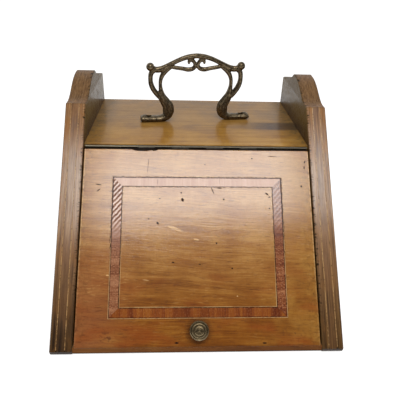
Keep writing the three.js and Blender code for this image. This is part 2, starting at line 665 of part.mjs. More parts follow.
// The right half, as bars through stations [x, height above the board, half width] in hundredths of the
// handle's height; the left half mirrors it.
const LEG_BAR = [
  [38, 80, 2.4], [45, 75.3, 3.4], [50, 69, 3.1], [52.4, 62, 2.5], [52.8, 55, 2.4], [52.2, 48, 3],
  [50.5, 38, 5.6], [46, 30, 6.5], [41.8, 22.5, 7.2], [41.4, 14.5, 7.4], [45, 7.4, 6.2],
  [53, 4, 4.4], [63, 3.2, 4], [72, 3.4, 4.4], [79, 4, 4.8], [83.6, 4.4, 2.6],
];
const EAR_BAR = [
  [56, 78.2, 2.6], [62, 76.4, 3.6], [66, 72, 3.4], [67, 64, 3.1], [66.2, 56.5, 3.4], [63.4, 49.5, 3.5],
  [59, 43, 3.6], [53.5, 36.5, 3.4],
];
const SCROLL_BAR = [
  [38, 81.4, 2.4], [30, 79.9, 2.6], [20, 78.4, 2.7], [12, 77, 3], [5.2, 78.4, 3], [2, 82.6, 2.8],
  [3.4, 87.4, 2.5], [7.2, 90.6, 2.7], [11, 88.9, 2.2], [11.2, 85.2, 1],
];
const ARCH_HALF = [
  [10, 95.5, 3.4], [20, 92.9, 3.2], [30, 88.7, 3.1], [40, 83.6, 3.4], [49, 78.9, 4.2], [58, 77.3, 4.2],
  [65, 80.2, 3.4],
];
const BALL_AT = [66.8, 81.4];
const ARCH_TOP = [0, 96.6, 3.4];

function handleSolid() {
  const arch = castBar([
    ...ARCH_HALF.map(([x, z, w]) => [-x, z, w]).reverse(),
    ARCH_TOP,
    ...ARCH_HALF,
  ], HANDLE_ARCH_DEPTH, HANDLE_ARCH_DEPTH, 24);
  const half = joined([
    castBar(LEG_BAR, HANDLE_ARCH_DEPTH, HANDLE_FOOT_DEPTH, 26, 10),
    castBar(EAR_BAR, HANDLE_EAR_DEPTH, HANDLE_LEG_DEPTH, 12),
    castBar(SCROLL_BAR, HANDLE_SCROLL_DEPTH, HANDLE_SCROLL_DEPTH, 18, 6),
    placed(solidOf(new THREE.SphereGeometry(HANDLE_BALL_RADIUS, 10, 7)),
      shift(BALL_AT[0] * handleScale, 0, BALL_AT[1] * handleScale)),
  ]);
  const belowBoard = block(-HALF_INNER, HALF_INNER, -HANDLE_HEIGHT, HANDLE_HEIGHT,
    -TOP_BOARD_THICKNESS, SEAT_GAP);
  const sinks = [-1, 1].flatMap((s) => [
    handleScrew(s * HANDLE_SCREW_X, SCREW_CLEARANCE),
    placed(rod(HANDLE_SCREW_HEAD + SCREW_CLEARANCE, 0, HANDLE_SCREW_LENGTH),
      shift(s * HANDLE_SCREW_X, 0, HANDLE_SCREW_SEAT)),
  ]);
  return cut(joined([arch, half, mirroredX(half)]), [belowBoard, ...sinks]);
}
addPiece('carrying_handle', onHandle(handleSolid()), AGED_BRASS);
for (const [side, sign] of [['left', -1], ['right', 1]]) {
  addPiece(`handle_screw_${side}`, onHandle(handleScrew(sign * HANDLE_SCREW_X, 0)), SCREW_STEEL);
}

// ---------------------------------------------------------------- liner

const LINER_HALF = HALF_INNER - LINER_SIDE_GAP;
const LINER_FLOOR = BASE_TOP + SEAT_GAP;
const LINER_BACK = BACK_INNER - LINER_BACK_GAP;
const LINER_FRONT_TOP = LINER_FLOOR + LINER_FRONT_HEIGHT;
const LINER_BACK_TOP = LINER_FLOOR + LINER_BACK_HEIGHT;
const LINER_FRONT = lidInnerY(LINER_FRONT_TOP) + LINER_LID_GAP;
const LINER_BREAK = lidInnerY(LINER_BACK_TOP) + LINER_LID_GAP; // where the sloping mouth turns level

// Side view of the liner, drawn in by an inset all round, with the mouth raised by lift.
const linerOutline = (inset, lift) => polygon([
  [LINER_FRONT + inset, LINER_FLOOR + Math.max(0, inset)],
  [LINER_BACK - inset, LINER_FLOOR + Math.max(0, inset)],
  [LINER_BACK - inset, LINER_BACK_TOP + lift],
  [LINER_BREAK, LINER_BACK_TOP + lift],
  [LINER_FRONT + inset, LINER_FRONT_TOP + inset * Math.tan(SLOPE) + lift],
]);

// The folded edge: a collar round the mouth, LINER_RIM_HEIGHT deep.
function linerRim() {
  const outerHalf = LINER_HALF + LINER_RIM;
  const clearHalf = LINER_HALF + 2 * LINER_RIM;
  const outer = prism(linerOutline(-LINER_RIM, 0), -outerHalf, outerHalf);
  return outer.subtract(prism(linerOutline(-2 * LINER_RIM, -LINER_RIM_HEIGHT), -clearHalf, clearHalf));
}

// The pulling grip: a round bar bent into a shallow U, lying level in front of the liner.
const GRIP_Z = LINER_FLOOR + GRIP_HEIGHT;
function gripSolid() {
  const half = GRIP_LENGTH / 2;
  const seat = LINER_FRONT - SEAT_GAP;
  const front = seat - GRIP_REACH;
  const corner = GRIP_REACH * 0.6;
  const v = (x, y) => new THREE.Vector3(x, y, GRIP_Z);
  const path = new THREE.CurvePath();
  path.add(new THREE.LineCurve3(v(-half, seat), v(-half, front + corner)));
  path.add(new THREE.QuadraticBezierCurve3(
    v(-half, front + corner), v(-half, front), v(-half + corner, front),
  ));
  path.add(new THREE.LineCurve3(v(-half + corner, front), v(half - corner, front)));
  path.add(new THREE.QuadraticBezierCurve3(v(half - corner, front), v(half, front), v(half, front + corner)));
  path.add(new THREE.LineCurve3(v(half, front + corner), v(half, seat)));
  const section = new THREE.Shape().absarc(0, 0, GRIP_RADIUS, 0, 2 * Math.PI);
  const bar = new THREE.ExtrudeGeometry(section, { extrudePath: path, steps: 20, curveSegments: 4 });
  const towardsLid = new THREE.Matrix4().makeRotationX(Math.PI / 2);
  const plates = [-half, half].map((x) => placed(
    placed(rod(GRIP_PLATE_RADIUS, 0, GRIP_PLATE, 16), towardsLid), shift(x, seat, GRIP_Z),
  ));
  return joined([solidOf(bar), ...plates]);
}

const rivets = [-1, 1].flatMap((sx) => [-1, 1].map((sz) => ({
  name: `grip_rivet_${sz > 0 ? 'upper' : 'lower'}_${sx > 0 ? 'right' : 'left'}`,
  x: (sx * GRIP_LENGTH) / 2,
  z: GRIP_Z + sz * RIVET_OFFSET,
})));

// A rivet through the grip's plate and the liner's front wall, with a domed head on each side.
function rivet({ x, z }, spare) {
  const grip = GRIP_PLATE + 2 * SEAT_GAP;
  const inside = LINER_WALL + SEAT_GAP;
  const shank = rod(RIVET_RADIUS + spare, -inside - RIVET_HEAD_HEIGHT, grip + RIVET_HEAD_HEIGHT, 10);
  const heads = turned([
    [0, -inside - RIVET_HEAD_HEIGHT],
    [RIVET_HEAD * 0.6, -inside - RIVET_HEAD_HEIGHT],
    [RIVET_HEAD, -inside],
    [RIVET_RADIUS, -inside],
    [RIVET_RADIUS, grip],
    [RIVET_HEAD, grip],
    [RIVET_HEAD * 0.6, grip + RIVET_HEAD_HEIGHT],
    [0, grip + RIVET_HEAD_HEIGHT],
  ], 10);
  const alongY = placed(spare ? shank : heads, new THREE.Matrix4().makeRotationX(Math.PI / 2));
  return placed(alongY, shift(x, LINER_FRONT, z));
}

const rivetHoles = rivets.map((one) => rivet(one, PIN_CLEARANCE));
const shell = prism(linerOutline(0, 0), -LINER_HALF, LINER_HALF).add(linerRim());
const hollow = prism(linerOutline(LINER_WALL, 1), -LINER_HALF + LINER_WALL, LINER_HALF - LINER_WALL);
addPiece('coal_liner', cut(shell, [hollow, ...rivetHoles]), JAPANNED);
addPiece('liner_grip', cut(gripSolid(), rivetHoles), JAPANNED);
for (const one of rivets) addPiece(one.name, rivet(one, 0), SCREW_STEEL);

// ---------------------------------------------------------------- shovel socket

function socketSolid() {
  const inside = SOCKET_WIDTH / 2;
  const outside = inside + SOCKET_STRIP;
  const z0 = SOCKET_CENTRE_HEIGHT - SOCKET_HEIGHT / 2;
  const z1 = SOCKET_CENTRE_HEIGHT + SOCKET_HEIGHT / 2;
  const back = SOCKET_BACK + SOCKET_DEPTH;
  return cut(joined([
    block(-outside, outside, SOCKET_BACK, back + SOCKET_STRIP, z0, z1),
    block(-outside - SOCKET_EAR, outside + SOCKET_EAR, SOCKET_BACK, SOCKET_BACK + SOCKET_STRIP, z0, z1),
  ]), [
    block(-inside, inside, SOCKET_BACK - 1, back, z0 - 1, z1 + 1),
    ...socketScrews.map((screw) => socketScrew(screw, SCREW_CLEARANCE)),
  ]);
}
addPiece('shovel_socket', socketSolid(), AGED_BRASS);
for (const screw of socketScrews) addPiece(screw.name, socketScrew(screw, 0), SCREW_STEEL);

// ---------------------------------------------------------------- placing

// The origin stands on the floor below the middle of the whole box.
const bounds = new THREE.Box3().setFromObject(box);
const coalBox = new THREE.Group();
coalBox.add(box);
box.position.y = -(bounds.min.y + bounds.max.y) / 2;

export default coalBox;
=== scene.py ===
"""Slope-front coal box in inlaid mahogany: its finishes, its finer pieces, and a plain pale studio."""
import random
from math import cos, pi, radians, sin

import bmesh
import bpy
from mathutils import Matrix, Vector


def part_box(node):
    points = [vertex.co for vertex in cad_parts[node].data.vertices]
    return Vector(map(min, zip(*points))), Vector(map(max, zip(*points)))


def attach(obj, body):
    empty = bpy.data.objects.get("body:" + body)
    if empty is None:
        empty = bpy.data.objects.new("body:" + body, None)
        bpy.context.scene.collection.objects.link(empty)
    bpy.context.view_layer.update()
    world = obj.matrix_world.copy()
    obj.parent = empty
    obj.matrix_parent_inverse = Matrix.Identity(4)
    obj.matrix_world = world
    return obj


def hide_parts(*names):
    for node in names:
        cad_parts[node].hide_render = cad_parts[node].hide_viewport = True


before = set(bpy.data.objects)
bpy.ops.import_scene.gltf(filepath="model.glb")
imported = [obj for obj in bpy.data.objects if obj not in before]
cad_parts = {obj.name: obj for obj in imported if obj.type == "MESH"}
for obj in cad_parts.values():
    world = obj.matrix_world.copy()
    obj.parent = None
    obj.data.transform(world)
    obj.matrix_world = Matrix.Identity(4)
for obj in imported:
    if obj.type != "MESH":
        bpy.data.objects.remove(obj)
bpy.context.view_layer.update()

MM = 0.001
POLISH_IOR = 1.62  # old hard polish, a little glossier than new varnish

# ---------------------------------------------------------------- camera

CAMERA_PLACE = Vector((-27.80, -570.84, 439.00)) * MM
CAMERA_PAN = radians(3.4637)
CAMERA_DOWN = radians(30.326)
CAMERA_ROLL = radians(2.052)
CAMERA_LENS = 40.09


def set_camera():
    """The photograph's own point of view."""
    lens = bpy.data.cameras.new("photo_camera")
    lens.sensor_width = 36.0
    lens.lens = CAMERA_LENS
    lens.clip_start = 0.01
    camera = bpy.data.objects.new("photo_camera", lens)
    bpy.context.scene.collection.objects.link(camera)
    camera.matrix_world = (
        Matrix.Translation(CAMERA_PLACE)
        @ Matrix.Rotation(-CAMERA_PAN, 4, "Z")
        @ Matrix.Rotation(radians(90) - CAMERA_DOWN, 4, "X")
        @ Matrix.Rotation(CAMERA_ROLL, 4, "Z")
    )
    bpy.context.scene.camera = camera


set_camera()

# ---------------------------------------------------------------- sizes and places

SLOPE = radians(46.26)
LID_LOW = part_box("lid_panel")[0]
LID_FOOT = Vector((0.0, LID_LOW.y, LID_LOW.z))  # lower edge of the lid's face
LID_TURN = Matrix.Rotation(SLOPE, 4, "X")
LID_PLACE = Matrix.Translation(LID_FOOT) @ LID_TURN  # lid's own frame: x across, y up the slope, z out
LID_LENGTH = 254.0 * MM
LID_HALF_WIDTH = 150.7 * MM
SEAT_GAP = 0.2 * MM  # what is fixed on the wood stands this far off it
HALF_INNER = 152.5 * MM  # middle to the inner face of a side panel
SIDE_THICKNESS = 27.0 * MM
BASE_LIFT = 2.3 * MM  # underside of the base board above the floor
TOE_HEIGHT = 8.0 * MM
SHOULDER_HEIGHT = 241.0 * MM  # where the slope of the side panels ends and their ogee begins
BOARD_TOP = 197.0 * MM
BANDING_HALF_WIDTH = 111.0 * MM  # outer edge of the inlaid frame, across the lid
BANDING_FOOT = 35.0 * MM  # its lower and upper outer edges, up the slope
BANDING_TOP = 214.5 * MM
KNOB_UP_SLOPE = 20.2 * MM
KNOB_DIRT_AND_SHADOW = (11.5 * MM, 19.5 * MM)  # where the ring of dirt and painted shadow round the knob starts to fade, and is gone
HINGE_AXIS = (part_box("hinge_pin")[0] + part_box("hinge_pin")[1]) / 2
HANDLE_Y = (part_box("carrying_handle")[0].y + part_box("carrying_handle")[1].y) / 2
HANDLE_ASKEW = radians(7.3)  # the handle stands turned on the board, left foot forward
HANDLE_PLACE = Matrix.Translation((0, HANDLE_Y, BOARD_TOP)) @ Matrix.Rotation(HANDLE_ASKEW, 4, "Z")


def on_lid(x, up, out=0.0):
    """A point in millimetres on the lid, as a place in the row frame."""
    return LID_PLACE @ Vector((x * MM, up * MM, out * MM))


# ---------------------------------------------------------------- node helpers


def shade(red, green, blue):
    """A colour written in the usual 0 to 255 steps."""
    def linear(step):
        part = step / 255.0
        return part / 12.92 if part <= 0.04045 else ((part + 0.055) / 1.055) ** 2.4
    return (linear(red), linear(green), linear(blue), 1.0)


class Wires:
    """Adds nodes to one tree. A value may be a number, a colour, a vector or a socket."""

    def __init__(self, tree):
        self.tree = tree

    def put(self, socket, value):
        """Feeds a socket, from a wire or with a set value. None leaves it as it is."""
        if isinstance(value, bpy.types.NodeSocket):
            self.tree.links.new(value, socket)
        elif value is not None:
            socket.default_value = value

    def node(self, kind, settings=None, **values):
        """A node with its own settings, and with values for the sockets of those names."""
        made = self.tree.nodes.new(kind)
        for key, value in (settings or {}).items():
            setattr(made, key, value)
        for key, value in values.items():
            self.put(made.inputs[key.replace("_", " ")], value)
        return made

    def math(self, operation, *values, clamp=False):
        made = self.node("ShaderNodeMath", {"operation": operation, "use_clamp": clamp})
        for socket, value in zip(made.inputs, values):
            self.put(socket, value)
        return made.outputs[0]

    def chain(self, operation, values):
        """Joins several values one after another with the same operation."""
        total = values[0]
        for value in values[1:]:
            total = self.math(operation, total, value)
        return total

    def times(self, *values):
        return self.chain("MULTIPLY", values)

    def plus(self, *values):
        return self.chain("ADD", values)

    def most(self, *values):
        return self.chain("MAXIMUM", values)

    def minus(self, first, second):
        return self.math("SUBTRACT", first, second)

    def rest(self, share):
        """What is left of one."""
        return self.math("SUBTRACT", 1.0, share)

    def absolute(self, value):
        return self.math("ABSOLUTE", value)

    def vector_math(self, operation, *values, out="Vector"):
        made = self.node("ShaderNodeVectorMath", {"operation": operation})
        for socket, value in zip(made.inputs, values):
            self.put(socket, value)
        return made.outputs[out]

    def noise(self, vector, scale, detail=2.0, roughness=0.5):
        return self.node("ShaderNodeTexNoise", Vector=vector, Scale=scale, Detail=detail,
                         Roughness=roughness).outputs["Fac"]

    def mapping(self, vector, location=(0, 0, 0), rotation=(0, 0, 0), scale=(1, 1, 1)):
        return self.node("ShaderNodeMapping", Vector=vector, Location=location,
                         Rotation=rotation, Scale=scale).outputs[0]

    def remap(self, value, low, high, to_low=0.0, to_high=1.0, smooth=True):
        """Carries a value from one range to another, and holds it at both ends."""
        way = "SMOOTHSTEP" if smooth else "LINEAR"
        made = self.node("ShaderNodeMapRange", {"interpolation_type": way})
        for key, number in (("Value", value), ("From Min", low), ("From Max", high),
                            ("To Min", to_low), ("To Max", to_high)):
            self.put(made.inputs[key], number)
        return made.outputs[0]

    def band(self, value, start, full, end, gone):
        """One between full and end, fading to nothing at start and at gone."""
        return self.times(self.remap(value, start, full), self.remap(value, end, gone, 1.0, 0.0))

    def mix(self, share, first, second):
        """Lays a share of the second colour over the first."""
        made = self.node("ShaderNodeMix", {"data_type": "RGBA", "clamp_factor": True})
        self.put(made.inputs[0], share)
        self.put(made.inputs[6], first)
        self.put(made.inputs[7], second)
        return made.outputs[2]

    def ramp(self, value, *stops):
        """Colours along a value. A stop is its place, then red, green and blue in steps."""
        made = self.node("ShaderNodeValToRGB", Fac=value)
        points = made.color_ramp.elements
        for point, stop in ((points[0], stops[0]), (points[1], stops[-1])):
            point.position, point.color = stop[0], shade(*stop[1:])
        for place, *steps in stops[1:-1]:
            points.new(place).color = shade(*steps)
        return made.outputs[0]

    def split(self, vector):
        return self.node("ShaderNodeSeparateXYZ", Vector=vector).outputs

    def join(self, x=0.0, y=0.0, z=0.0):
        return self.node("ShaderNodeCombineXYZ", X=x, Y=y, Z=z).outputs[0]

    def place(self):
        """Object coordinates in metres, which are the row frame's at rest."""
        return self.node("ShaderNodeTexCoord").outputs["Object"]

    def group(self, tree, **values):
        made = self.node("ShaderNodeGroup", {"node_tree": tree})
        for key, value in values.items():
            self.put(made.inputs[key.replace("_", " ")], value)
        return made.outputs

    def bump(self, height, strength, distance):
        """The normal of a surface with a small relief on it."""
        return self.node("ShaderNodeBump", Height=height, Strength=strength, Distance=distance).outputs[0]


def new_group(name, inputs, outputs):
    """An empty shader group with named sockets. Returns the group, its wires, and both end nodes."""
    tree = bpy.data.node_groups.new(name, "ShaderNodeTree")
    kinds = {"vector": "NodeSocketVector", "colour": "NodeSocketColor", "value": "NodeSocketFloat"}
    for label, kind, start in inputs:
        socket = tree.interface.new_socket(label, in_out="INPUT", socket_type=kinds[kind])
        if start is not None:
            socket.default_value = start
    for label, kind in outputs:
        tree.interface.new_socket(label, in_out="OUTPUT", socket_type=kinds[kind])
    wires = Wires(tree)
    return tree, wires, tree.nodes.new("NodeGroupInput").outputs, tree.nodes.new("NodeGroupOutput").inputs


def new_material(name):
    """A material with only its output node. Returns it, its wires and a function that adds the shader."""
    material = bpy.data.materials.new(name)
    material.use_nodes = True
    tree = material.node_tree
    tree.nodes.clear()
    wires = Wires(tree)

    def shader(colour, roughness, normal=None, metallic=0.0, **others):
        """Ends the material. Others are further sockets of the shader, spaces written as low lines."""
        made = tree.nodes.new("ShaderNodeBsdfPrincipled")
        wires.put(made.inputs["Base Color"], colour)
        wires.put(made.inputs["Roughness"], roughness)
        wires.put(made.inputs["Metallic"], metallic)
        wires.put(made.inputs["Normal"], normal)
        for key, value in others.items():
            wires.put(made.inputs[key.replace("_", " ")], value)
        out = tree.nodes.new("ShaderNodeOutputMaterial")
        tree.links.new(made.outputs[0], out.inputs["Surface"])

    return material, wires, shader


# ---------------------------------------------------------------- effects shared by the finishes


def make_wood_figure():
    """Grain along X in centimetres: broad streaks, fine lines, open pores and cloudy patches."""
    tree, w, given, made = new_group(
        "wood_figure",
        [("Vector", "vector", None), ("Bend", "value", 0.6), ("Streak Width", "value", 1.0)],
        [("Streaks", "value"), ("Lines", "value"), ("Pores", "value"), ("Clouds", "value")],
    )
    drift = w.noise(w.mapping(given["Vector"], scale=(0.07, 0.16, 0.16)), 1.0, 2.0)
    lift = w.times(w.minus(drift, 0.5), given["Bend"])
    bent = w.vector_math("ADD", given["Vector"], w.join(y=w.times(lift, 4.0)))
    narrow = w.vector_math("DIVIDE", bent, w.join(1.0, given["Streak Width"], given["Streak Width"]))
    streaks = w.noise(w.mapping(narrow, scale=(0.055, 1.15, 0.7)), 1.0, 5.0, 0.6)
    lines = w.noise(w.mapping(bent, scale=(0.22, 6.5, 3.0)), 1.0, 4.0, 0.65)
    pores = w.noise(w.mapping(bent, scale=(1.5, 24.0, 9.0)), 1.0, 1.0)
    w.put(made["Streaks"], w.remap(streaks, 0.3, 0.7, smooth=False))
    w.put(made["Lines"], w.remap(lines, 0.3, 0.7, smooth=False))
    w.put(made["Pores"], w.remap(pores, 0.62, 0.72))
    w.put(made["Clouds"], w.remap(w.noise(given["Vector"], 0.22, 3.0, 0.55), 0.32, 0.68))
    return tree


def make_dent_mark():
    """One straight dent or scratch, given by its middle, turn and half sizes in metres."""
    tree, w, given, made = new_group(
        "dent_mark",
        [("Vector", "vector", None), ("Middle", "vector", (0, 0, 0)), ("Turn", "value", 0.0),
         ("Half Length", "value", 0.004), ("Half Width", "value", 0.0004)],
        [("Mask", "value")],
    )
    turned = w.node("ShaderNodeVectorRotate", {"rotation_type": "Z_AXIS"}, Vector=given["Vector"],
                    Center=given["Middle"], Angle=given["Turn"]).outputs[0]
    apart = w.vector_math("SUBTRACT", turned, given["Middle"])
    shares = w.vector_math("DIVIDE", apart, w.join(given["Half Length"], given["Half Width"], 1.0))
    across = w.split(shares)
    reach = w.vector_math("LENGTH", w.join(across["X"], across["Y"]), out="Value")
    ragged = w.plus(reach, w.times(w.noise(given["Vector"], 900.0, 2.0), 0.5))
    w.put(made["Mask"], w.remap(ragged, 0.85, 1.25, 1.0, 0.0))
    return tree


def make_age_marks():
    """What years of use leave on a polished surface: pits and soft grime."""
    tree, w, given, made = new_group(
        "age_marks",
        [("Vector", "vector", None), ("Pit Share", "value", 0.12)],
        [("Pits", "value"), ("Grime", "value")],
    )
    cells = w.node("ShaderNodeTexVoronoi", Vector=given["Vector"], Scale=0.9, Randomness=1.0)
    chance = w.split(cells.outputs["Color"])["X"]
    size = w.remap(chance, 0.0, 1.0, 0.03, 0.09, smooth=False)
    spot = w.math("LESS_THAN", cells.outputs["Distance"], size)
    w.put(made["Pits"], w.times(spot, w.math("LESS_THAN", chance, given["Pit Share"])))
    w.put(made["Grime"], w.remap(w.noise(given["Vector"], 1.6, 6.0, 0.7), 0.42, 0.72))
    return tree


def make_metal_patina():
    """Old cast or rolled metal, in millimetres: blotches of patina, fine casting grain and rubs."""
    tree, w, given, made = new_group(
        "metal_patina",
        [("Vector", "vector", None), ("Dark", "colour", (0.02, 0.02, 0.02, 1)),
         ("Middle", "colour", (0.1, 0.1, 0.1, 1)), ("Rubbed", "colour", (0.3, 0.3, 0.3, 1)),
         ("Wear", "value", 0.4)],
        [("Color", "colour"), ("Roughness", "value"), ("Height", "value")],
    )
    blotch = w.noise(given["Vector"], 0.22, 5.0, 0.65)
    grain = w.noise(given["Vector"], 2.6, 3.0, 0.6)
    rub = w.noise(w.mapping(given["Vector"], scale=(0.25, 1.8, 1.8)), 1.0, 4.0, 0.7)
    base = w.mix(w.remap(blotch, 0.36, 0.64), given["Dark"], given["Middle"])
    worn = w.times(w.remap(rub, 0.5, 0.72), given["Wear"])
    w.put(made["Color"], w.mix(worn, base, given["Rubbed"]))
    w.put(made["Roughness"], w.remap(blotch, 0.3, 0.7, 0.46, 0.28))
    w.put(made["Height"], w.plus(grain, w.times(blotch, 1.5)))
    return tree


WOOD_FIGURE = make_wood_figure()
DENT_MARK = make_dent_mark()
AGE_MARKS = make_age_marks()
METAL_PATINA = make_metal_patina()


def lid_space(w):
    """Object coordinates turned into the lid's own frame, in metres."""
    back = LID_PLACE.inverted()
    return w.mapping(w.place(), location=back.to_translation(), rotation=(-SLOPE, 0, 0))


def in_cm(w, vector):
    """Metres to centimetres, the unit that the figure of the wood is drawn in."""
    return w.vector_math("MULTIPLY", vector, (100, 100, 100))


def in_mm(w, vector):
    """Metres to millimetres, the unit that the patina is drawn in."""
    return w.vector_math("MULTIPLY", vector, (1000, 1000, 1000))


# ---------------------------------------------------------------- wood finishes

# Dents and cracks in the lid: middle across and up the slope, half length and half
# width in millimetres, and turn in degrees.
LID_DENTS = [
    (-130.0, 204.6, 4.8, 0.6, -8),
    (-129.6, 197.0, 3.6, 0.6, 42),
    (19.2, 197.6, 7.4, 0.5, -66),
    (28.6, 200.6, 3.8, 0.6, -2),
    (91.6, 193.0, 3.4, 0.9, -40),
    (95.0, 188.6, 2.2, 0.6, 15),
    (-20.2, 184.6, 3.2, 1.4, -75),
    (-22.0, 194.0, 1.4, 0.9, 0),
    (-52.2, 153.4, 2.4, 1.2, -48),
    (-50.0, 186.0, 1.5, 0.6, 10),
    (34.0, 185.4, 1.3, 1.1, 0),
    (23.6, 127.4, 1.4, 1.0, 0),
    (43.2, 95.2, 1.4, 0.9, 0),
    (-32.0, 103.0, 2.2, 0.7, -10),
    (73.2, 242.2, 1.4, 0.9, 10),
    (101.0, 245.4, 8.0, 0.35, -2),
    (138.6, 203.8, 1.6, 1.2, 0),
    (145.2, 238.0, 2.2, 0.9, 70),
    (144.0, 230.0, 2.6, 0.8, 85),
    (9.4, 233.0, 1.4, 0.5, 0),
    (-66.0, 231.0, 13.0, 0.25, 86),
    (-61.0, 214.0, 2.0, 0.5, 40),
    (-64.0, 159.0, 1.4, 0.7, 0),
    (94.2, 173.4, 1.2, 0.8, 0),
    (81.0, 4.2, 3.4, 0.8, 0),
    (-27.0, 5.4, 3.2, 0.9, 0),
    (1.8, 100.4, 2.0, 0.5, -20),
]
# Pale rubs where the polish has gone: the same five numbers.
LID_RUBS = [
    (-30.0, 146.4, 12.5, 2.2, -19),
    (-2.4, 132.2, 4.6, 1.4, -14),
    (-66.0, 81.0, 5.0, 0.8, -8),
    (48.8, 60.8, 1.2, 1.0, 0),
    (111.2, 117.6, 1.5, 1.2, 0),
    (-113.8, 87.0, 2.4, 1.0, 0),
]
# The piece broken out of the top arris: two overlapping scoops, the right one ending sharply.
LID_CHIP = [(-73.0, 254.6, 17.0, 3.5, 2), (-58.5, 254.4, 6.0, 2.7, 0)]
# Lines that run round with the inlaid frame, in millimetres outside the banding's outer edge.
OUTSIDE_FRAME, INSIDE_FRAME, VENEER_EDGE = 1.3, -12.9, -0.4
# Two knots in the grain: centimetres across and up the slope, and how tight the swirl is.
LID_KNOTS = [(11.7, 1.5, 1.0), (-11.4, 1.2, 1.15)]


def outline(w, x, up, outside, half_line):
    """A line drawn on the lid all round the banding, so many millimetres outside its outer edge."""
    middle = (BANDING_FOOT + BANDING_TOP) / 2
    half_length = (BANDING_TOP - BANDING_FOOT) / 2
    beside = w.minus(w.absolute(x), BANDING_HALF_WIDTH + outside * MM)
    above = w.minus(w.absolute(w.minus(up, middle)), half_length + outside * MM)
    reach = w.absolute(w.most(beside, above))
    return w.remap(reach, 0.7 * half_line * MM, 1.3 * half_line * MM, 1.0, 0.0)


def marks(w, vector, rows, spread=1.0):
    """Several dents as one mask. Each is joined on as it is made, which keeps the shader small."""
    strongest = 0.0
    for x, up, length, width, turn in rows:
        mark = w.group(DENT_MARK, Vector=vector, Middle=(x * MM, up * MM, 0.0), Turn=radians(-turn),
                       Half_Length=length * MM, Half_Width=width * spread * MM)["Mask"]
        strongest = w.most(strongest, mark)
    return strongest


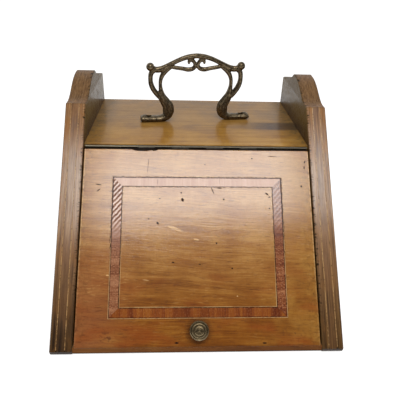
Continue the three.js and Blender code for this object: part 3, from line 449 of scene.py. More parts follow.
def lid_finish():
    """Golden mahogany under worn polish: figure, knots, dents, rubs, dirt, painted shade at the knob and
    top joint, a painted highlight on the arrises, and a bare inner face.
    """
    material, w, shader = new_material("lid_mahogany")
    lid = lid_space(w)
    cm = in_cm(w, lid)
    x, up, out = (w.split(lid)[k] for k in "XYZ")
    figure = w.group(WOOD_FIGURE, Vector=w.mapping(cm, rotation=(0, 0, radians(3.5))), Bend=0.5)
    age = w.group(AGE_MARKS, Vector=cm, Pit_Share=0.05)

    tone = w.plus(w.times(figure["Streaks"], 0.42), w.times(figure["Lines"], 0.42),
                  w.times(figure["Clouds"], 0.25))
    low = w.ramp(tone, (0.15, 98, 48, 6), (0.5, 136, 78, 16), (0.9, 168, 110, 36))
    high = w.ramp(tone, (0.15, 132, 80, 30), (0.5, 166, 112, 48), (0.9, 196, 146, 80))
    colour = w.mix(w.remap(up, 0.03, 0.14), low, high)
    # gold towards the right edge, pinker low on the left, red in cloudy patches low down
    gold = w.times(w.remap(x, 0.06, 0.14), w.remap(figure["Clouds"], 0.1, 0.8, 0.25, 0.7))
    colour = w.mix(gold, colour, shade(168, 120, 52))
    pink = w.times(w.remap(x, -0.06, -0.14, 0.0, 0.55), w.remap(up, 0.06, 0.16, 1.0, 0.0))
    colour = w.mix(pink, colour, shade(158, 98, 62))
    patches = w.remap(w.noise(w.mapping(cm, scale=(0.13, 0.34, 1.0)), 1.0, 3.0), 0.46, 0.66)
    red = w.times(patches, w.remap(up, 0.0, 0.14, 0.6, 0.12))
    colour = w.mix(red, colour, shade(146, 68, 20))
    # short flecks of lighter and darker figure lying along the grain
    bright = w.remap(w.noise(w.mapping(cm, scale=(0.8, 4.6, 1.0)), 1.0, 2.0), 0.57, 0.68)
    bright = w.times(bright, w.remap(figure["Clouds"], 0.2, 0.9, 0.1, 0.42),
                     w.remap(up, 0.02, 0.07, 0.3, 1.0))
    colour = w.mix(bright, colour, shade(198, 148, 84))
    deep = w.remap(w.noise(w.mapping(cm, location=(7, 3, 1), scale=(0.6, 3.4, 1.0)), 1.0, 3.0), 0.57, 0.72)
    colour = w.mix(w.times(deep, 0.45), colour, shade(98, 50, 22))
    weave = w.noise(w.mapping(cm, scale=(6.5, 1.3, 1.0)), 1.0, 2.0)
    colour = w.mix(w.remap(weave, 0.5, 0.75, 0.0, 0.16), colour, shade(110, 64, 32))

    # a swirl of dark grain low on each side
    drift = w.times(w.noise(cm, 0.9, 4.0, 0.6), 16.0)
    for knot_x, knot_up, tight in LID_KNOTS:
        knot = w.mapping(cm, location=(-knot_x, -knot_up, 0))
        oval = w.vector_math("MULTIPLY", knot, (0.8 * tight, 1.3 * tight, 0))
        swirl = w.vector_math("LENGTH", oval, out="Value")
        ring = w.math("SINE", w.plus(w.times(swirl, 4.0), drift))
        swirled = w.times(w.remap(swirl, 0.4, 1.5, 1.0, 0.0), w.remap(ring, -0.3, 0.9))
        colour = w.mix(w.times(swirled, 0.7), colour, shade(84, 44, 26))

    dents = marks(w, lid, LID_DENTS, spread=1.4)
    rubs = w.times(marks(w, lid, LID_RUBS), w.remap(figure["Lines"], 0.2, 0.8, 0.5, 1.0))
    # the ground has chipped along the inlaid frame, most of all up the slope
    cracked = w.most(outline(w, x, up, OUTSIDE_FRAME, 0.8), outline(w, x, up, INSIDE_FRAME, 0.7))
    cracked = w.times(cracked, w.remap(w.noise(cm, 2.6, 3.0, 0.7), 0.47, 0.57),
                      w.remap(up, 0.08, 0.14, 0.2, 0.55))
    dents = w.most(dents, cracked)
    dark = w.most(w.times(figure["Pores"], 0.5), w.times(age["Pits"], 0.8), dents)
    colour = w.mix(dark, colour, shade(40, 20, 12))
    colour = w.mix(w.times(rubs, 0.85), colour, shade(230, 184, 122))
    # a pale string shows inside the frame where the polish has darkened less
    pale = w.times(outline(w, x, up, INSIDE_FRAME, 0.5), w.remap(up, 0.05, 0.16, 0.8, 0.0),
                   w.remap(figure["Clouds"], 0.3, 0.6, 0.45, 1.0))
    colour = w.mix(pale, colour, shade(200, 160, 108))
    # dirt at the foot, dirt and a painted shadow round the knob, soil worked in near the sides, and a pale
    # arris, partly wear and partly a painted highlight
    aside = w.absolute(x)
    soil = w.times(w.remap(aside, 0.128, 0.148), age["Grime"])
    from_knob = w.vector_math("LENGTH", w.join(x, w.minus(up, KNOB_UP_SLOPE)), out="Value")
    # a ring of dirt and painted shadow round the knob
    knob_dirt_and_shadow = w.times(w.remap(from_knob, *KNOB_DIRT_AND_SHADOW, 1.0, 0.0), w.remap(age["Grime"], 0.0, 1.0, 0.4, 0.9))
    # darkened: dirt at the foot and near the sides, and the knob's dirt and painted shadow
    darkened = w.most(w.remap(up, 0.0, 0.004, 0.4, 0.0), w.times(soil, 0.5), knob_dirt_and_shadow)
    colour = w.mix(darkened, colour, shade(66, 38, 18))
    # the side arrises painted pale: partly wear, partly a painted highlight
    arris_wear_and_highlight = w.times(w.remap(aside, LID_HALF_WIDTH - 2.3 * MM, LID_HALF_WIDTH - 1.3 * MM),
                    w.remap(up, 0.04, 0.12, 0.1, 0.45), w.remap(age["Grime"], 0.0, 0.7, 1.0, 0.0))
    colour = w.mix(arris_wear_and_highlight, colour, shade(216, 176, 122))
    # the top edge and the chip are darkened: dirt and bare wood, with painted shade for the shadow in the
    # hinge's gap and in the chip
    joint_dirt_and_shade = w.most(w.remap(up, LID_LENGTH - 1.0 * MM, LID_LENGTH + 0.2 * MM), marks(w, lid, LID_CHIP))
    colour = w.mix(joint_dirt_and_shade, colour, shade(22, 13, 8))
    # the underside was never polished, and has sooted over
    inside = w.remap(out, -6 * MM, -2 * MM, 1.0, 0.0)
    plain = w.ramp(tone, (0.15, 82, 56, 34), (0.5, 108, 76, 48), (0.9, 128, 94, 62))
    plain = w.mix(w.times(age["Grime"], 0.55), plain, shade(56, 46, 38))
    colour = w.mix(inside, colour, plain)

    # the relief is fed by the grain alone: the long chain of dents would be too much for it
    normal = w.bump(w.times(figure["Lines"], 0.3), 0.25, 0.4 * MM)
    rough = w.plus(w.remap(inside, 0.0, 1.0, 0.38, 0.7), w.times(dark, 0.2))
    bare = w.most(dents, joint_dirt_and_shade, w.times(darkened, 0.5), w.remap(aside, 0.09, 0.15, 0.0, 0.38), inside)
    shader(colour, rough, normal, Specular_IOR_Level=0.06, Coat_Weight=w.rest(bare),
           Coat_Roughness=0.14, Coat_IOR=POLISH_IOR, Coat_Normal=normal)
    return material


# The crack in the top board: its middle, and half its length and width.
BOARD_CRACK_X, BOARD_CRACK_Y = 12.0 * MM, 65.2 * MM
BOARD_CRACK_REACH, BOARD_CRACK_WIDTH = 18.0 * MM, 0.7 * MM
# The stain beside it, front to back: where it begins, is full, ends and is gone.
BOARD_STAIN = (46.0 * MM, 54.0 * MM, 76.0 * MM, 84.0 * MM)


def board_finish():
    """The top board's olive gold, with a dark stain at the right, ends darkened by dust and painted shade
    beside the side panels, and one short crack.
    """
    material, w, shader = new_material("top_mahogany")
    place = w.place()
    cm = in_cm(w, place)
    x, y, _ = (w.split(place)[k] for k in "XYZ")
    figure = w.group(WOOD_FIGURE, Vector=w.mapping(cm, location=(31, 7, 3)), Bend=0.3)
    age = w.group(AGE_MARKS, Vector=cm, Pit_Share=0.06)
    tone = w.plus(w.times(figure["Streaks"], 0.34), w.times(figure["Lines"], 0.3),
                  w.times(figure["Clouds"], 0.34))
    front = w.ramp(tone, (0.15, 136, 90, 30), (0.5, 166, 119, 46), (0.85, 186, 142, 70))
    back = w.ramp(tone, (0.15, 118, 86, 40), (0.5, 152, 112, 56), (0.85, 172, 132, 74))
    colour = w.mix(w.remap(y, 0.01, 0.1), front, back)
    stain = w.times(w.band(y, *BOARD_STAIN), w.remap(x, 0.04, 0.12),
                    w.remap(age["Grime"], 0.0, 0.8, 0.8, 1.0))
    colour = w.mix(stain, colour, shade(66, 42, 26))
    # the ends beside the side panels are darkened: dust, and painted shade in the corners
    side = w.remap(w.absolute(x), 0.112, 0.151)
    dust_and_shade = w.times(side, w.remap(age["Grime"], 0.0, 1.0, 0.35, 0.85))
    colour = w.mix(dust_and_shade, colour, shade(84, 72, 48))
    dark = w.most(w.times(figure["Pores"], 0.5), w.times(age["Pits"], 0.7))
    crack = w.times(w.math("LESS_THAN", w.absolute(w.minus(x, BOARD_CRACK_X)), BOARD_CRACK_REACH),
                    w.math("LESS_THAN", w.absolute(w.minus(y, BOARD_CRACK_Y)), BOARD_CRACK_WIDTH))
    dark = w.most(dark, w.times(crack, 0.6))
    colour = w.mix(dark, colour, shade(54, 36, 20))
    relief = w.minus(w.times(figure["Lines"], 0.3), dark)
    normal = w.bump(relief, 0.3, 0.3 * MM)
    shader(colour, w.remap(figure["Clouds"], 0.0, 1.0, 0.36, 0.46), normal, Specular_IOR_Level=0.06,
           Coat_Weight=w.remap(side, 0.4, 1.0, 0.34, 0.1), Coat_Roughness=0.13, Coat_Normal=normal)
    return material


# The dark, middle and light tones at the foot of each side panel's edge.
LOW_SIDE = {
    "left": ((32, 19, 7), (61, 39, 15), (88, 60, 28)),
    "right": ((46, 28, 12), (88, 60, 28), (122, 90, 46)),
}
SIDE_PAINTED_SHEEN = {"left": 0.4, "right": 0.22}  # how much painted sheen lies half way up each edge, where the lamp's reflection falls


def side_finish(side):
    """A side panel: streaky show edges, a dark inner face, and a redder outer face with upright grain."""
    sign = -1.0 if side == "left" else 1.0
    material, w, shader = new_material(f"{side}_side_mahogany")
    place = w.place()
    x, y, z = (w.split(place)[k] for k in "XYZ")
    across = w.minus(w.times(x, sign), HALF_INNER)  # 0 at the inner face
    lid = in_cm(w, lid_space(w))
    swapped = w.mapping(lid, location=(11 * sign, 0, 0), rotation=(0, 0, radians(90)))
    edge = w.group(WOOD_FIGURE, Vector=swapped, Bend=0.1, Streak_Width=0.26)
    upright = w.mapping(in_cm(w, place), location=(0, 5, 9 * sign), rotation=(0, radians(90), 0))
    face = w.group(WOOD_FIGURE, Vector=upright, Bend=0.5)
    age = w.group(AGE_MARKS, Vector=in_cm(w, place), Pit_Share=0.2)

    tone = w.plus(w.times(edge["Streaks"], 0.5), w.times(edge["Lines"], 0.5))
    dark_low, middle_low, light_low = LOW_SIDE[side]
    low = w.ramp(tone, (0.2, *dark_low), (0.5, *middle_low), (0.8, *light_low))
    high = w.ramp(tone, (0.15, 96, 66, 42), (0.5, 142, 102, 66), (0.85, 176, 134, 90))
    show = w.mix(w.remap(z, 0.0, 0.13), low, high)
    # greyer along the middle, amber and olive beside it, in drifting patches
    patches = w.noise(w.mapping(lid, location=(0, 4 * sign, 0), scale=(0.7, 0.3, 0.5)), 1.0, 3.0)
    middle = w.times(w.band(across, 0.006, 0.010, 0.016, 0.020), w.remap(z, 0.05, 0.14, 0.25, 1.0))
    show = w.mix(w.times(middle, w.remap(patches, 0.4, 0.6, 0.1, 0.5)), show, shade(104, 84, 76))
    amber = w.times(w.remap(patches, 0.46, 0.62), w.rest(middle), w.remap(z, 0.04, 0.18, 0.2, 0.6))
    show = w.mix(amber, show, shade(150, 98, 42))
    # a painted sheen, pale and milky, half way up the edge
    painted_sheen = w.times(w.band(z, 0.09, 0.15, 0.16, 0.215),
                    w.remap(edge["Lines"], 0.2, 0.8, 0.1, SIDE_PAINTED_SHEEN[side]))
    show = w.mix(painted_sheen, show, shade(206, 182, 158))
    crest = w.ramp(tone, (0.2, 84, 59, 36), (0.5, 114, 83, 51), (0.8, 133, 100, 64))
    above = w.remap(z, SHOULDER_HEIGHT - 2 * MM, SHOULDER_HEIGHT + MM)
    show = w.mix(above, show, crest)
    rim = w.most(w.remap(across, 0.0, 1.8 * MM, 1.0, 0.0),
                 w.remap(across, SIDE_THICKNESS - 1.8 * MM, SIDE_THICKNESS))
    show = w.mix(w.times(rim, 0.5), show, shade(48, 34, 24))
    # nicks worn out of the inner arris by the lid, and painted shade on the toe where it meets the floor
    notch = w.noise(w.mapping(lid, scale=(1.2, 4.2, 1.0)), 1.0, 3.0, 0.7)
    reach = w.times(w.remap(across, 0.0015, 0.0045, 1.0, 0.0), w.remap(z, 0.03, 0.06))
    nicks = w.times(w.remap(notch, 0.54, 0.6), reach)
    toe_shade = w.times(w.remap(z, TOE_HEIGHT - MM, TOE_HEIGHT + MM, 1.0, 0.0),
                  w.remap(y, LID_FOOT.y, LID_FOOT.y + 4 * MM, 1.0, 0.0))
    show = w.mix(w.most(nicks, w.times(toe_shade, 0.7)), show, shade(26, 16, 10))

    grain = w.plus(w.times(face["Streaks"], 0.5), w.times(face["Clouds"], 0.5))
    plain = w.ramp(grain, (0.1, 60, 40, 12), (0.5, 76, 52, 17), (0.9, 92, 66, 26))
    plain = w.mix(w.times(age["Grime"], 0.45), plain, shade(70, 36, 12))
    # painted light: the upper part of the inner faces is painted lighter and yellower where light and
    # reflection fall
    plain = w.mix(w.remap(z, 0.198, 0.226, 0.0, 0.8), plain, shade(104, 80, 16))
    turned = w.split(w.node("ShaderNodeNewGeometry").outputs["Normal"])["X"]
    facing = w.remap(w.absolute(turned), 0.6, 0.9)
    edgewise = w.rest(facing)
    outward = w.remap(w.times(turned, sign), 0.6, 0.9)
    outside = w.ramp(grain, (0.1, 90, 53, 23), (0.5, 118, 75, 34), (0.9, 140, 95, 46))
    outside = w.mix(w.times(age["Grime"], 0.4), outside, shade(82, 52, 26))
    plain = w.mix(outward, plain, outside)
    colour = w.mix(facing, show, plain)
    lines = w.plus(w.times(edge["Pores"], edgewise), w.times(face["Pores"], facing))
    dark = w.most(w.times(lines, 0.4), w.times(age["Pits"], 0.85))
    colour = w.mix(dark, colour, shade(34, 22, 14))
    relief = w.minus(w.times(tone, 0.4, edgewise), w.most(dark, nicks))
    normal = w.bump(relief, 0.35, 0.4 * MM)
    film = w.bump(w.times(tone, edgewise), 0.12, 0.4 * MM)
    # the ogee has lost most of its polish, and the two faces had less of it
    polish = w.times(w.remap(facing, 0.0, 1.0, 1.0, 0.26), w.remap(above, 0.0, 1.0, 1.0, 0.25),
                     w.most(facing, w.remap(z, 0.175, 0.235, 1.0, 0.3)), w.rest(w.most(nicks, toe_shade)))
    shader(colour, w.remap(age["Grime"], 0.0, 1.0, 0.36, 0.5), normal, Specular_IOR_Level=0.06,
           Coat_Weight=polish, Coat_Roughness=0.18, Coat_IOR=POLISH_IOR, Coat_Normal=film)
    return material


def plain_wood_finish():
    """Unpolished inner wood with saw marks and coal dust. The base board's front edge is polished, with
    painted shade along its bottom.
    """
    material, w, shader = new_material("plain_wood")
    place = w.place()
    cm = in_cm(w, place)
    figure = w.group(WOOD_FIGURE, Vector=w.mapping(cm, location=(3, 40, 8)), Bend=0.9, Streak_Width=1.4)
    age = w.group(AGE_MARKS, Vector=cm, Pit_Share=0.1)
    tone = w.plus(w.times(figure["Streaks"], 0.6), w.times(figure["Lines"], 0.4))
    colour = w.ramp(tone, (0.2, 92, 66, 44), (0.5, 122, 92, 62), (0.85, 146, 114, 80))
    colour = w.mix(w.times(age["Grime"], 0.5), colour, shade(66, 52, 40))
    colour = w.mix(w.times(figure["Pores"], 0.5), colour, shade(50, 36, 26))
    saw = w.noise(w.mapping(cm, scale=(3.2, 0.1, 0.1)), 1.0, 2.0)
    _, y, z = (w.split(place)[k] for k in "XYZ")
    front = w.remap(y, LID_FOOT.y + MM, LID_FOOT.y + 4 * MM, 1.0, 0.0)
    polished = w.ramp(tone, (0.15, 92, 52, 22), (0.5, 120, 73, 33), (0.85, 136, 90, 46))
    # painted shade along the bottom of the front edge
    under_shade = w.remap(z, BASE_LIFT + 1.1 * MM, BASE_LIFT + 3.1 * MM, 0.75, 0.0)
    polished = w.mix(under_shade, polished, shade(58, 36, 22))
    colour = w.mix(front, colour, polished)
    normal = w.bump(w.plus(w.times(saw, 0.8), tone), 0.5, 0.5 * MM)
    shader(colour, w.remap(tone, 0.0, 1.0, 0.62, 0.82), normal, Specular_IOR_Level=0.12)
    return material


HATCH_PITCH = 4.7 * MM


def banding_finish(where, hatch, mottle, dark_seam, dark, middle, light):
    """Cross-banded veneer: short grain across the strip.

    hatch: how strongly slanting ridges have risen near its top, with their painted highlight and shade.
    mottle: dark spots and crazed polish.
    dark_seam: how far its outer edge has opened and filled with dirt.
    """
    material, w, shader = new_material(f"banding_{where}_veneer")
    lid = lid_space(w)
    upright = where in ("left", "right")
    turned = w.mapping(lid, rotation=(0, 0, 0 if upright else radians(90)))
    cm = in_cm(w, turned)
    figure = w.group(WOOD_FIGURE, Vector=cm, Bend=0.1, Streak_Width=1.3)
    tone = w.plus(w.times(figure["Streaks"], 0.7), w.times(figure["Lines"], 0.3))
    colour = w.ramp(tone, (0.2, *dark), (0.5, *middle), (0.8, *light))
    spots = w.remap(w.noise(cm, 3.4, 3.0, 0.6), 0.52, 0.66)
    colour = w.mix(w.times(spots, mottle), colour, shade(92, 34, 24))
    # ridges: a wave along the slanting direction, strongest near the top of the strip. The ridges get a
    # painted highlight and the grooves painted shade.
    x, up, _ = (w.split(lid)[k] for k in "XYZ")
    slant = w.plus(w.times(up, 0.66), w.times(x, -0.75))
    wobble = w.times(w.noise(cm, 1.6, 2.0), 3.0)
    wave = w.math("SINE", w.plus(w.times(slant, 2 * pi / HATCH_PITCH), wobble))
    patchy = w.remap(w.noise(cm, 3.2, 2.0), 0.3, 0.5, 0.3, 1.0)
    upper = w.remap(up, 0.130, 0.165)
    fade = w.times(upper, hatch, patchy)
    groove = w.times(w.remap(wave, 0.25, 0.95), fade)
    ridge_highlight = w.times(w.remap(wave, 0.1, -0.8), fade)
    colour = w.mix(w.times(ridge_highlight, 0.6), colour, shade(214, 172, 146))
    colour = w.mix(w.times(groove, 0.62), colour, shade(66, 44, 35))
    # crazed polish high up, and a peppering of pale and dark flecks lower down
    crazed = w.remap(w.absolute(w.minus(w.noise(cm, 2.6, 3.0, 0.6), 0.5)), 0.0, 0.035, 1.0, 0.0)
    colour = w.mix(w.times(crazed, upper, mottle), colour, shade(78, 46, 38))
    pepper = w.noise(w.mapping(cm, scale=(4.5, 7.0, 1.0)), 1.0, 2.0)
    lower = w.times(w.remap(up, 0.15, 0.11), 0.4 if upright else 0.12)
    colour = w.mix(w.times(w.remap(pepper, 0.54, 0.66), lower), colour, shade(214, 156, 112))
    colour = w.mix(w.times(w.remap(pepper, 0.46, 0.34), lower), colour, shade(70, 32, 20))
    # the strip has shrunk from the line outside it, and a few hair cracks cross it
    seam = w.times(outline(w, x, up, VENEER_EDGE, 0.6),
                   w.remap(w.noise(cm, 2.2, 3.0, 0.7), 0.4, 0.52, 0.35, 1.0))
    cracks = w.remap(w.noise(w.mapping(cm, scale=(0.3, 5.0, 1.0)), 1.0, 1.0), 0.72, 0.76)
    split_open = w.most(w.times(seam, dark_seam), w.times(cracks, 0.6))
    colour = w.mix(split_open, colour, shade(46, 26, 18))
    bare = w.rest(w.most(groove, split_open))
    normal = w.bump(w.minus(w.times(tone, 0.3), groove), 0.25, 0.4 * MM)
    shader(colour, w.plus(0.36, w.times(groove, 0.3)), normal, Specular_IOR_Level=0.06,
           Coat_Weight=bare, Coat_Roughness=0.14, Coat_IOR=POLISH_IOR, Coat_Normal=normal)
    return material


def line_finish(name, dark_low, dark_high, pale):
    """Thin line beside the banding, partly lost and filled with dirt: by so much low down and high up."""
    material, w, shader = new_material(name)
    lid = lid_space(w)
    cm = in_cm(w, lid)
    broken = w.noise(cm, 1.3, 5.0, 0.7)
    share = w.remap(w.split(lid)["Y"], 0.08, 0.17, dark_low, dark_high)
    lost = w.remap(w.minus(share, broken), -0.06, 0.06)
    colour = w.mix(lost, pale, shade(40, 22, 15))
    whole = w.remap(w.noise(cm, 2.2, 3.0, 0.6), 0.5, 0.6)
    colour = w.mix(w.times(whole, 0.55), colour, shade(150, 102, 66))
    normal = w.bump(broken, 0.4, 0.4 * MM)
    shader(colour, w.remap(broken, 0.3, 0.7, 0.55, 0.4), normal, Specular_IOR_Level=0.06,
           Coat_Weight=w.remap(lost, 0.0, 1.0, 0.9, 0.1), Coat_Roughness=0.16, Coat_IOR=POLISH_IOR)
    return material


def string_finish():
    """Boxwood let into the edges of the side panels, dirtier near the floor and duller on the ogee."""
    material, w, shader = new_material("boxwood_string")
    cm = in_cm(w, lid_space(w))
    along = w.noise(w.mapping(cm, scale=(6.0, 0.5, 6.0)), 1.0, 4.0, 0.6)
    colour = w.ramp(along, (0.3, 118, 82, 46), (0.5, 170, 128, 78), (0.7, 200, 160, 108))
    height = w.split(w.place())["Z"]
    low = w.remap(height, 0.0, 0.05, 0.14, 0.0)
    darkened = w.remap(w.plus(w.noise(cm, 4.0, 3.0), low), 0.52, 0.66)
    colour = w.mix(w.times(darkened, 0.62), colour, shade(66, 44, 26))
    above = w.remap(height, SHOULDER_HEIGHT - 2 * MM, SHOULDER_HEIGHT + MM)
    colour = w.mix(w.times(above, 0.7), colour, shade(104, 74, 46))
    normal = w.bump(along, 0.3, 0.3 * MM)
    shader(colour, w.remap(along, 0.3, 0.7, 0.5, 0.36), normal, Specular_IOR_Level=0.06,
           Coat_Weight=w.remap(above, 0.0, 1.0, 1.0, 0.25), Coat_Roughness=0.2, Coat_IOR=POLISH_IOR)
    return material


# ---------------------------------------------------------------- metal finishes


def metal_finish(name, dark, middle, rubbed, wear, metallic=0.85, bump=0.25, dust=0.0):
    """Metal under its patina, rubbed lighter where it wears, with coal dust on it if asked for."""
    material, w, shader = new_material(name)
    mm = in_mm(w, w.place())
    patina = w.group(METAL_PATINA, Vector=mm, Dark=dark, Middle=middle, Rubbed=rubbed, Wear=wear)
    colour, rough = patina["Color"], patina["Roughness"]
    if dust:
        grit = w.remap(w.noise(mm, 0.06, 6.0, 0.7), 0.42, 0.66)
        colour = w.mix(w.times(grit, dust), colour, shade(64, 60, 55))
        rough = w.math("ADD", rough, w.times(grit, 0.35), clamp=True)
    shader(colour, rough, w.bump(patina["Height"], bump, 0.2 * MM), metallic)
    return material


def hinge_finish():
    """Grimy steel, with a painted highlight in a line along the front of the barrel, brighter at the left.
    """
    material, w, shader = new_material("hinge_steel")
    place = w.place()
    x, y, z = (w.split(place)[k] for k in "XYZ")
    patina = w.group(METAL_PATINA, Vector=in_mm(w, place), Dark=shade(38, 32, 26),
                     Middle=shade(62, 54, 44), Rubbed=shade(104, 96, 82), Wear=0.3)
    # the painted highlight's four edges, in millimetres above the pin
    rises = (HINGE_AXIS.z + rise * MM for rise in (0.3, 0.6, 1.1, 1.5))
    line = w.times(w.band(z, *rises), w.math("GREATER_THAN", y, HINGE_AXIS.y - 2.1 * MM),
                   w.remap(x, -0.1, -0.06, 1.0, 0.45))
    colour = w.mix(line, patina["Color"], shade(176, 166, 140))
    shader(colour, patina["Roughness"], w.bump(patina["Height"], 0.12, 0.2 * MM), 0.6)
    return material


LID_WOOD = lid_finish()
BOARD_WOOD = board_finish()
SIDE_WOOD = {side: side_finish(side) for side in ("left", "right")}
PLAIN_WOOD = plain_wood_finish()
BOXWOOD = string_finish()
BANDINGS = {
    "left": banding_finish("left", 1.0, 0.15, 0.8, (128, 74, 44), (152, 96, 62), (172, 118, 82)),
    "right": banding_finish("right", 0.28, 0.8, 0.9, (104, 46, 20), (134, 72, 36), (168, 108, 68)),
    "top": banding_finish("top", 0.0, 0.06, 0.5, (166, 112, 80), (174, 122, 88), (182, 132, 98)),
    "bottom": banding_finish("bottom", 0.0, 0.12, 0.7, (98, 40, 12), (138, 70, 20), (158, 92, 28)),
}
DARK_LINE = line_finish("dark_line", 0.8, 0.6, shade(120, 84, 54))
PALE_LINE = line_finish("pale_line", 0.3, 0.66, shade(186, 144, 96))
CAST_BRASS = metal_finish("cast_brass", shade(62, 52, 38), shade(112, 98, 76), shade(184, 166, 132), 0.6)
KNOB_BRASS = metal_finish("knob_brass", shade(84, 70, 48), shade(124, 108, 80), shade(176, 160, 126), 0.6)
HINGE_STEEL = hinge_finish()
SHEET_BRASS = metal_finish("sheet_brass", shade(84, 72, 52), shade(108, 94, 70), shade(150, 134, 104), 0.3)
SCREW_STEEL = metal_finish("screw_steel", shade(40, 36, 31), shade(78, 73, 66), shade(130, 124, 114), 0.5)
JAPANNED = metal_finish("japanned_steel", shade(16, 16, 16), shade(28, 27, 26), shade(74, 70, 66), 0.25,
                        metallic=0.2, bump=0.15, dust=0.55)

# ---------------------------------------------------------------- making pieces


def put_in_scene(name, bm):
    """Makes an object of a loose mesh, which is used up."""
    mesh = bpy.data.meshes.new(name)
    bm.to_mesh(mesh)
    bm.free()
    thing = bpy.data.objects.new(name, mesh)
    bpy.context.scene.collection.objects.link(thing)
    return thing


def merged(node):
    """The CAD node as one closed mesh with whole flat faces."""
    bm = bmesh.new()
    bm.from_mesh(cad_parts[node].data)
    bmesh.ops.remove_doubles(bm, verts=bm.verts, dist=2e-6)
    bmesh.ops.dissolve_limit(bm, angle_limit=radians(0.4), use_dissolve_boundaries=False,
                             verts=bm.verts, edges=bm.edges, delimit=set())
    return bm


def add_piece(name, bm, body, material, nodes, smooth_angle=35.0):
    """Puts the mesh in the scene as a piece that stands for CAD nodes."""
    piece = put_in_scene(name, bm)
    mesh = piece.data
    if smooth_angle:
        mesh.polygons.foreach_set("use_smooth", [True] * len(mesh.polygons))
        mesh.set_sharp_from_angle(angle=radians(smooth_angle))
    mesh.materials.append(material)
    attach(piece, body)
    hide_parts(*nodes)
    return piece


def softened(bm, edges, width, segments=2):
    """Rounds over the given edges and smooths only the new faces."""
    for face in bm.faces:
        face.smooth = False
    made = bmesh.ops.bevel(bm, geom=edges, offset=width, offset_type="OFFSET", segments=segments,
                           profile=0.5, affect="EDGES", clamp_overlap=True, material=-1)
    for face in made["faces"]:
        face.smooth = True


def sharp_edges(bm, least_length=20 * MM, angle=30.0):
    """The long edges at which two faces turn by more than the angle."""
    return [e for e in bm.edges if len(e.link_faces) == 2 and e.calc_length() > least_length
            and e.calc_face_angle(0.0) > radians(angle)]


def spun(profile, segments=48):
    """A closed turned shape about Z from radius and height pairs in millimetres."""
    bm = bmesh.new()
    points = [bm.verts.new((r * MM, 0.0, h * MM)) for r, h in profile]
    edges = [bm.edges.new(pair) for pair in zip(points, points[1:])]
    bmesh.ops.spin(bm, geom=points + edges, cent=(0, 0, 0), axis=(0, 0, 1), angle=2 * pi,
                   steps=segments, use_merge=True)
    bmesh.ops.remove_doubles(bm, verts=bm.verts, dist=1e-6)
    bmesh.ops.recalc_face_normals(bm, faces=bm.faces)
    return bm


def shaped(thing, *helpers):
    """What a thing's modifiers make of it, as a loose mesh. The thing and its helpers are removed."""
    evaluated = thing.evaluated_get(bpy.context.evaluated_depsgraph_get())
    made = bpy.data.meshes.new_from_object(evaluated)
    bm = bmesh.new()
    bm.from_mesh(made)
    meshes = [made] + [one.data for one in (thing, *helpers)]
    for one in (thing, *helpers):
        bpy.data.objects.remove(one)
    for mesh in meshes:
        bpy.data.meshes.remove(mesh)
    return bm


def carved(bm, tool, operation="DIFFERENCE"):
    """Takes the tool's shape out of a mesh, or joins it on. Both are used up."""
    stock, knife = put_in_scene("stock", bm), put_in_scene("knife", tool)
    cut = stock.modifiers.new("cut", "BOOLEAN")
    cut.operation, cut.solver, cut.object = operation, "EXACT", knife
    return shaped(stock, knife)


def moved(bm, matrix):
    """Shifts and turns the whole of a loose mesh."""
    bmesh.ops.transform(bm, matrix=matrix, verts=bm.verts)


def add_cone(bm, place, low_radius, high_radius, length, segments):
    """Adds a closed cone or rod along Z, centred on its place."""
    bmesh.ops.create_cone(bm, segments=segments, radius1=low_radius, radius2=high_radius, depth=length,
                          cap_ends=True, matrix=place)


def block(low, high):
    """A box between two corners, in metres."""
    bm = bmesh.new()
    bmesh.ops.create_cube(bm, size=1.0)
    low, high = Vector(low), Vector(high)
    bmesh.ops.scale(bm, vec=high - low, verts=bm.verts)
    bmesh.ops.translate(bm, vec=(low + high) / 2, verts=bm.verts)
    return bm


# ---------------------------------------------------------------- woodwork


def beyond_inlay(edge):
    """Whether an edge of the lid belongs to its outline, and not to the grooves of the inlay."""
    middle = (edge.verts[0].co + edge.verts[1].co) / 2
    up = (LID_PLACE.inverted() @ middle).y
    return abs(middle.x) > 140 * MM or not 20 * MM < up < 235 * MM


CHIP_DEPTH = 3.0 * MM  # half depth of a scoop
CHIP_RISE = 0.4  # millimetres from the lid's face out to the middle of a scoop


def make_lid():
    """The lid's board: worn arrises, and shallow scoops broken out of the top one left of the middle."""
    bm = merged("lid_panel")
    softened(bm, [edge for edge in sharp_edges(bm) if beyond_inlay(edge)], 0.7 * MM, 3)
    for middle, up, half_length, half_width, _ in LID_CHIP:
        scoop = bmesh.new()
        bmesh.ops.create_uvsphere(scoop, u_segments=40, v_segments=20, radius=1.0)
        bmesh.ops.scale(scoop, vec=(half_length * MM, half_width * MM, CHIP_DEPTH), verts=scoop.verts)
        moved(scoop, Matrix.Translation(on_lid(middle, up, CHIP_RISE)) @ LID_TURN)
        bm = carved(bm, scoop)
    return add_piece("lid_board", bm, "lid", LID_WOOD, ["lid_panel"], smooth_angle=None)


FLAT_AREA = 4e-3  # a face of a side panel larger than this, in square metres, is flat


def make_side(side):
    """A side panel: its ogee shades as one curve, its slope and its two faces stay flat."""
    bm = merged(f"{side}_side_panel")
    for face in bm.faces:
        face.smooth = abs(face.normal.x) < 0.95 and face.calc_area() < FLAT_AREA
    for edge in bm.edges:
        edge.smooth = len(edge.link_faces) == 2 and edge.calc_face_angle(0.0) < radians(30)
    return add_piece(f"{side}_side_board", bm, "carcase", SIDE_WOOD[side],
                     [f"{side}_side_panel"], smooth_angle=None)


def make_board(node, name, material, width):
    """A plain board with its long edges softened by a width."""
    bm = merged(node)
    softened(bm, sharp_edges(bm, 100 * MM), width)
    return add_piece(name, bm, "carcase", material, [node], smooth_angle=None)


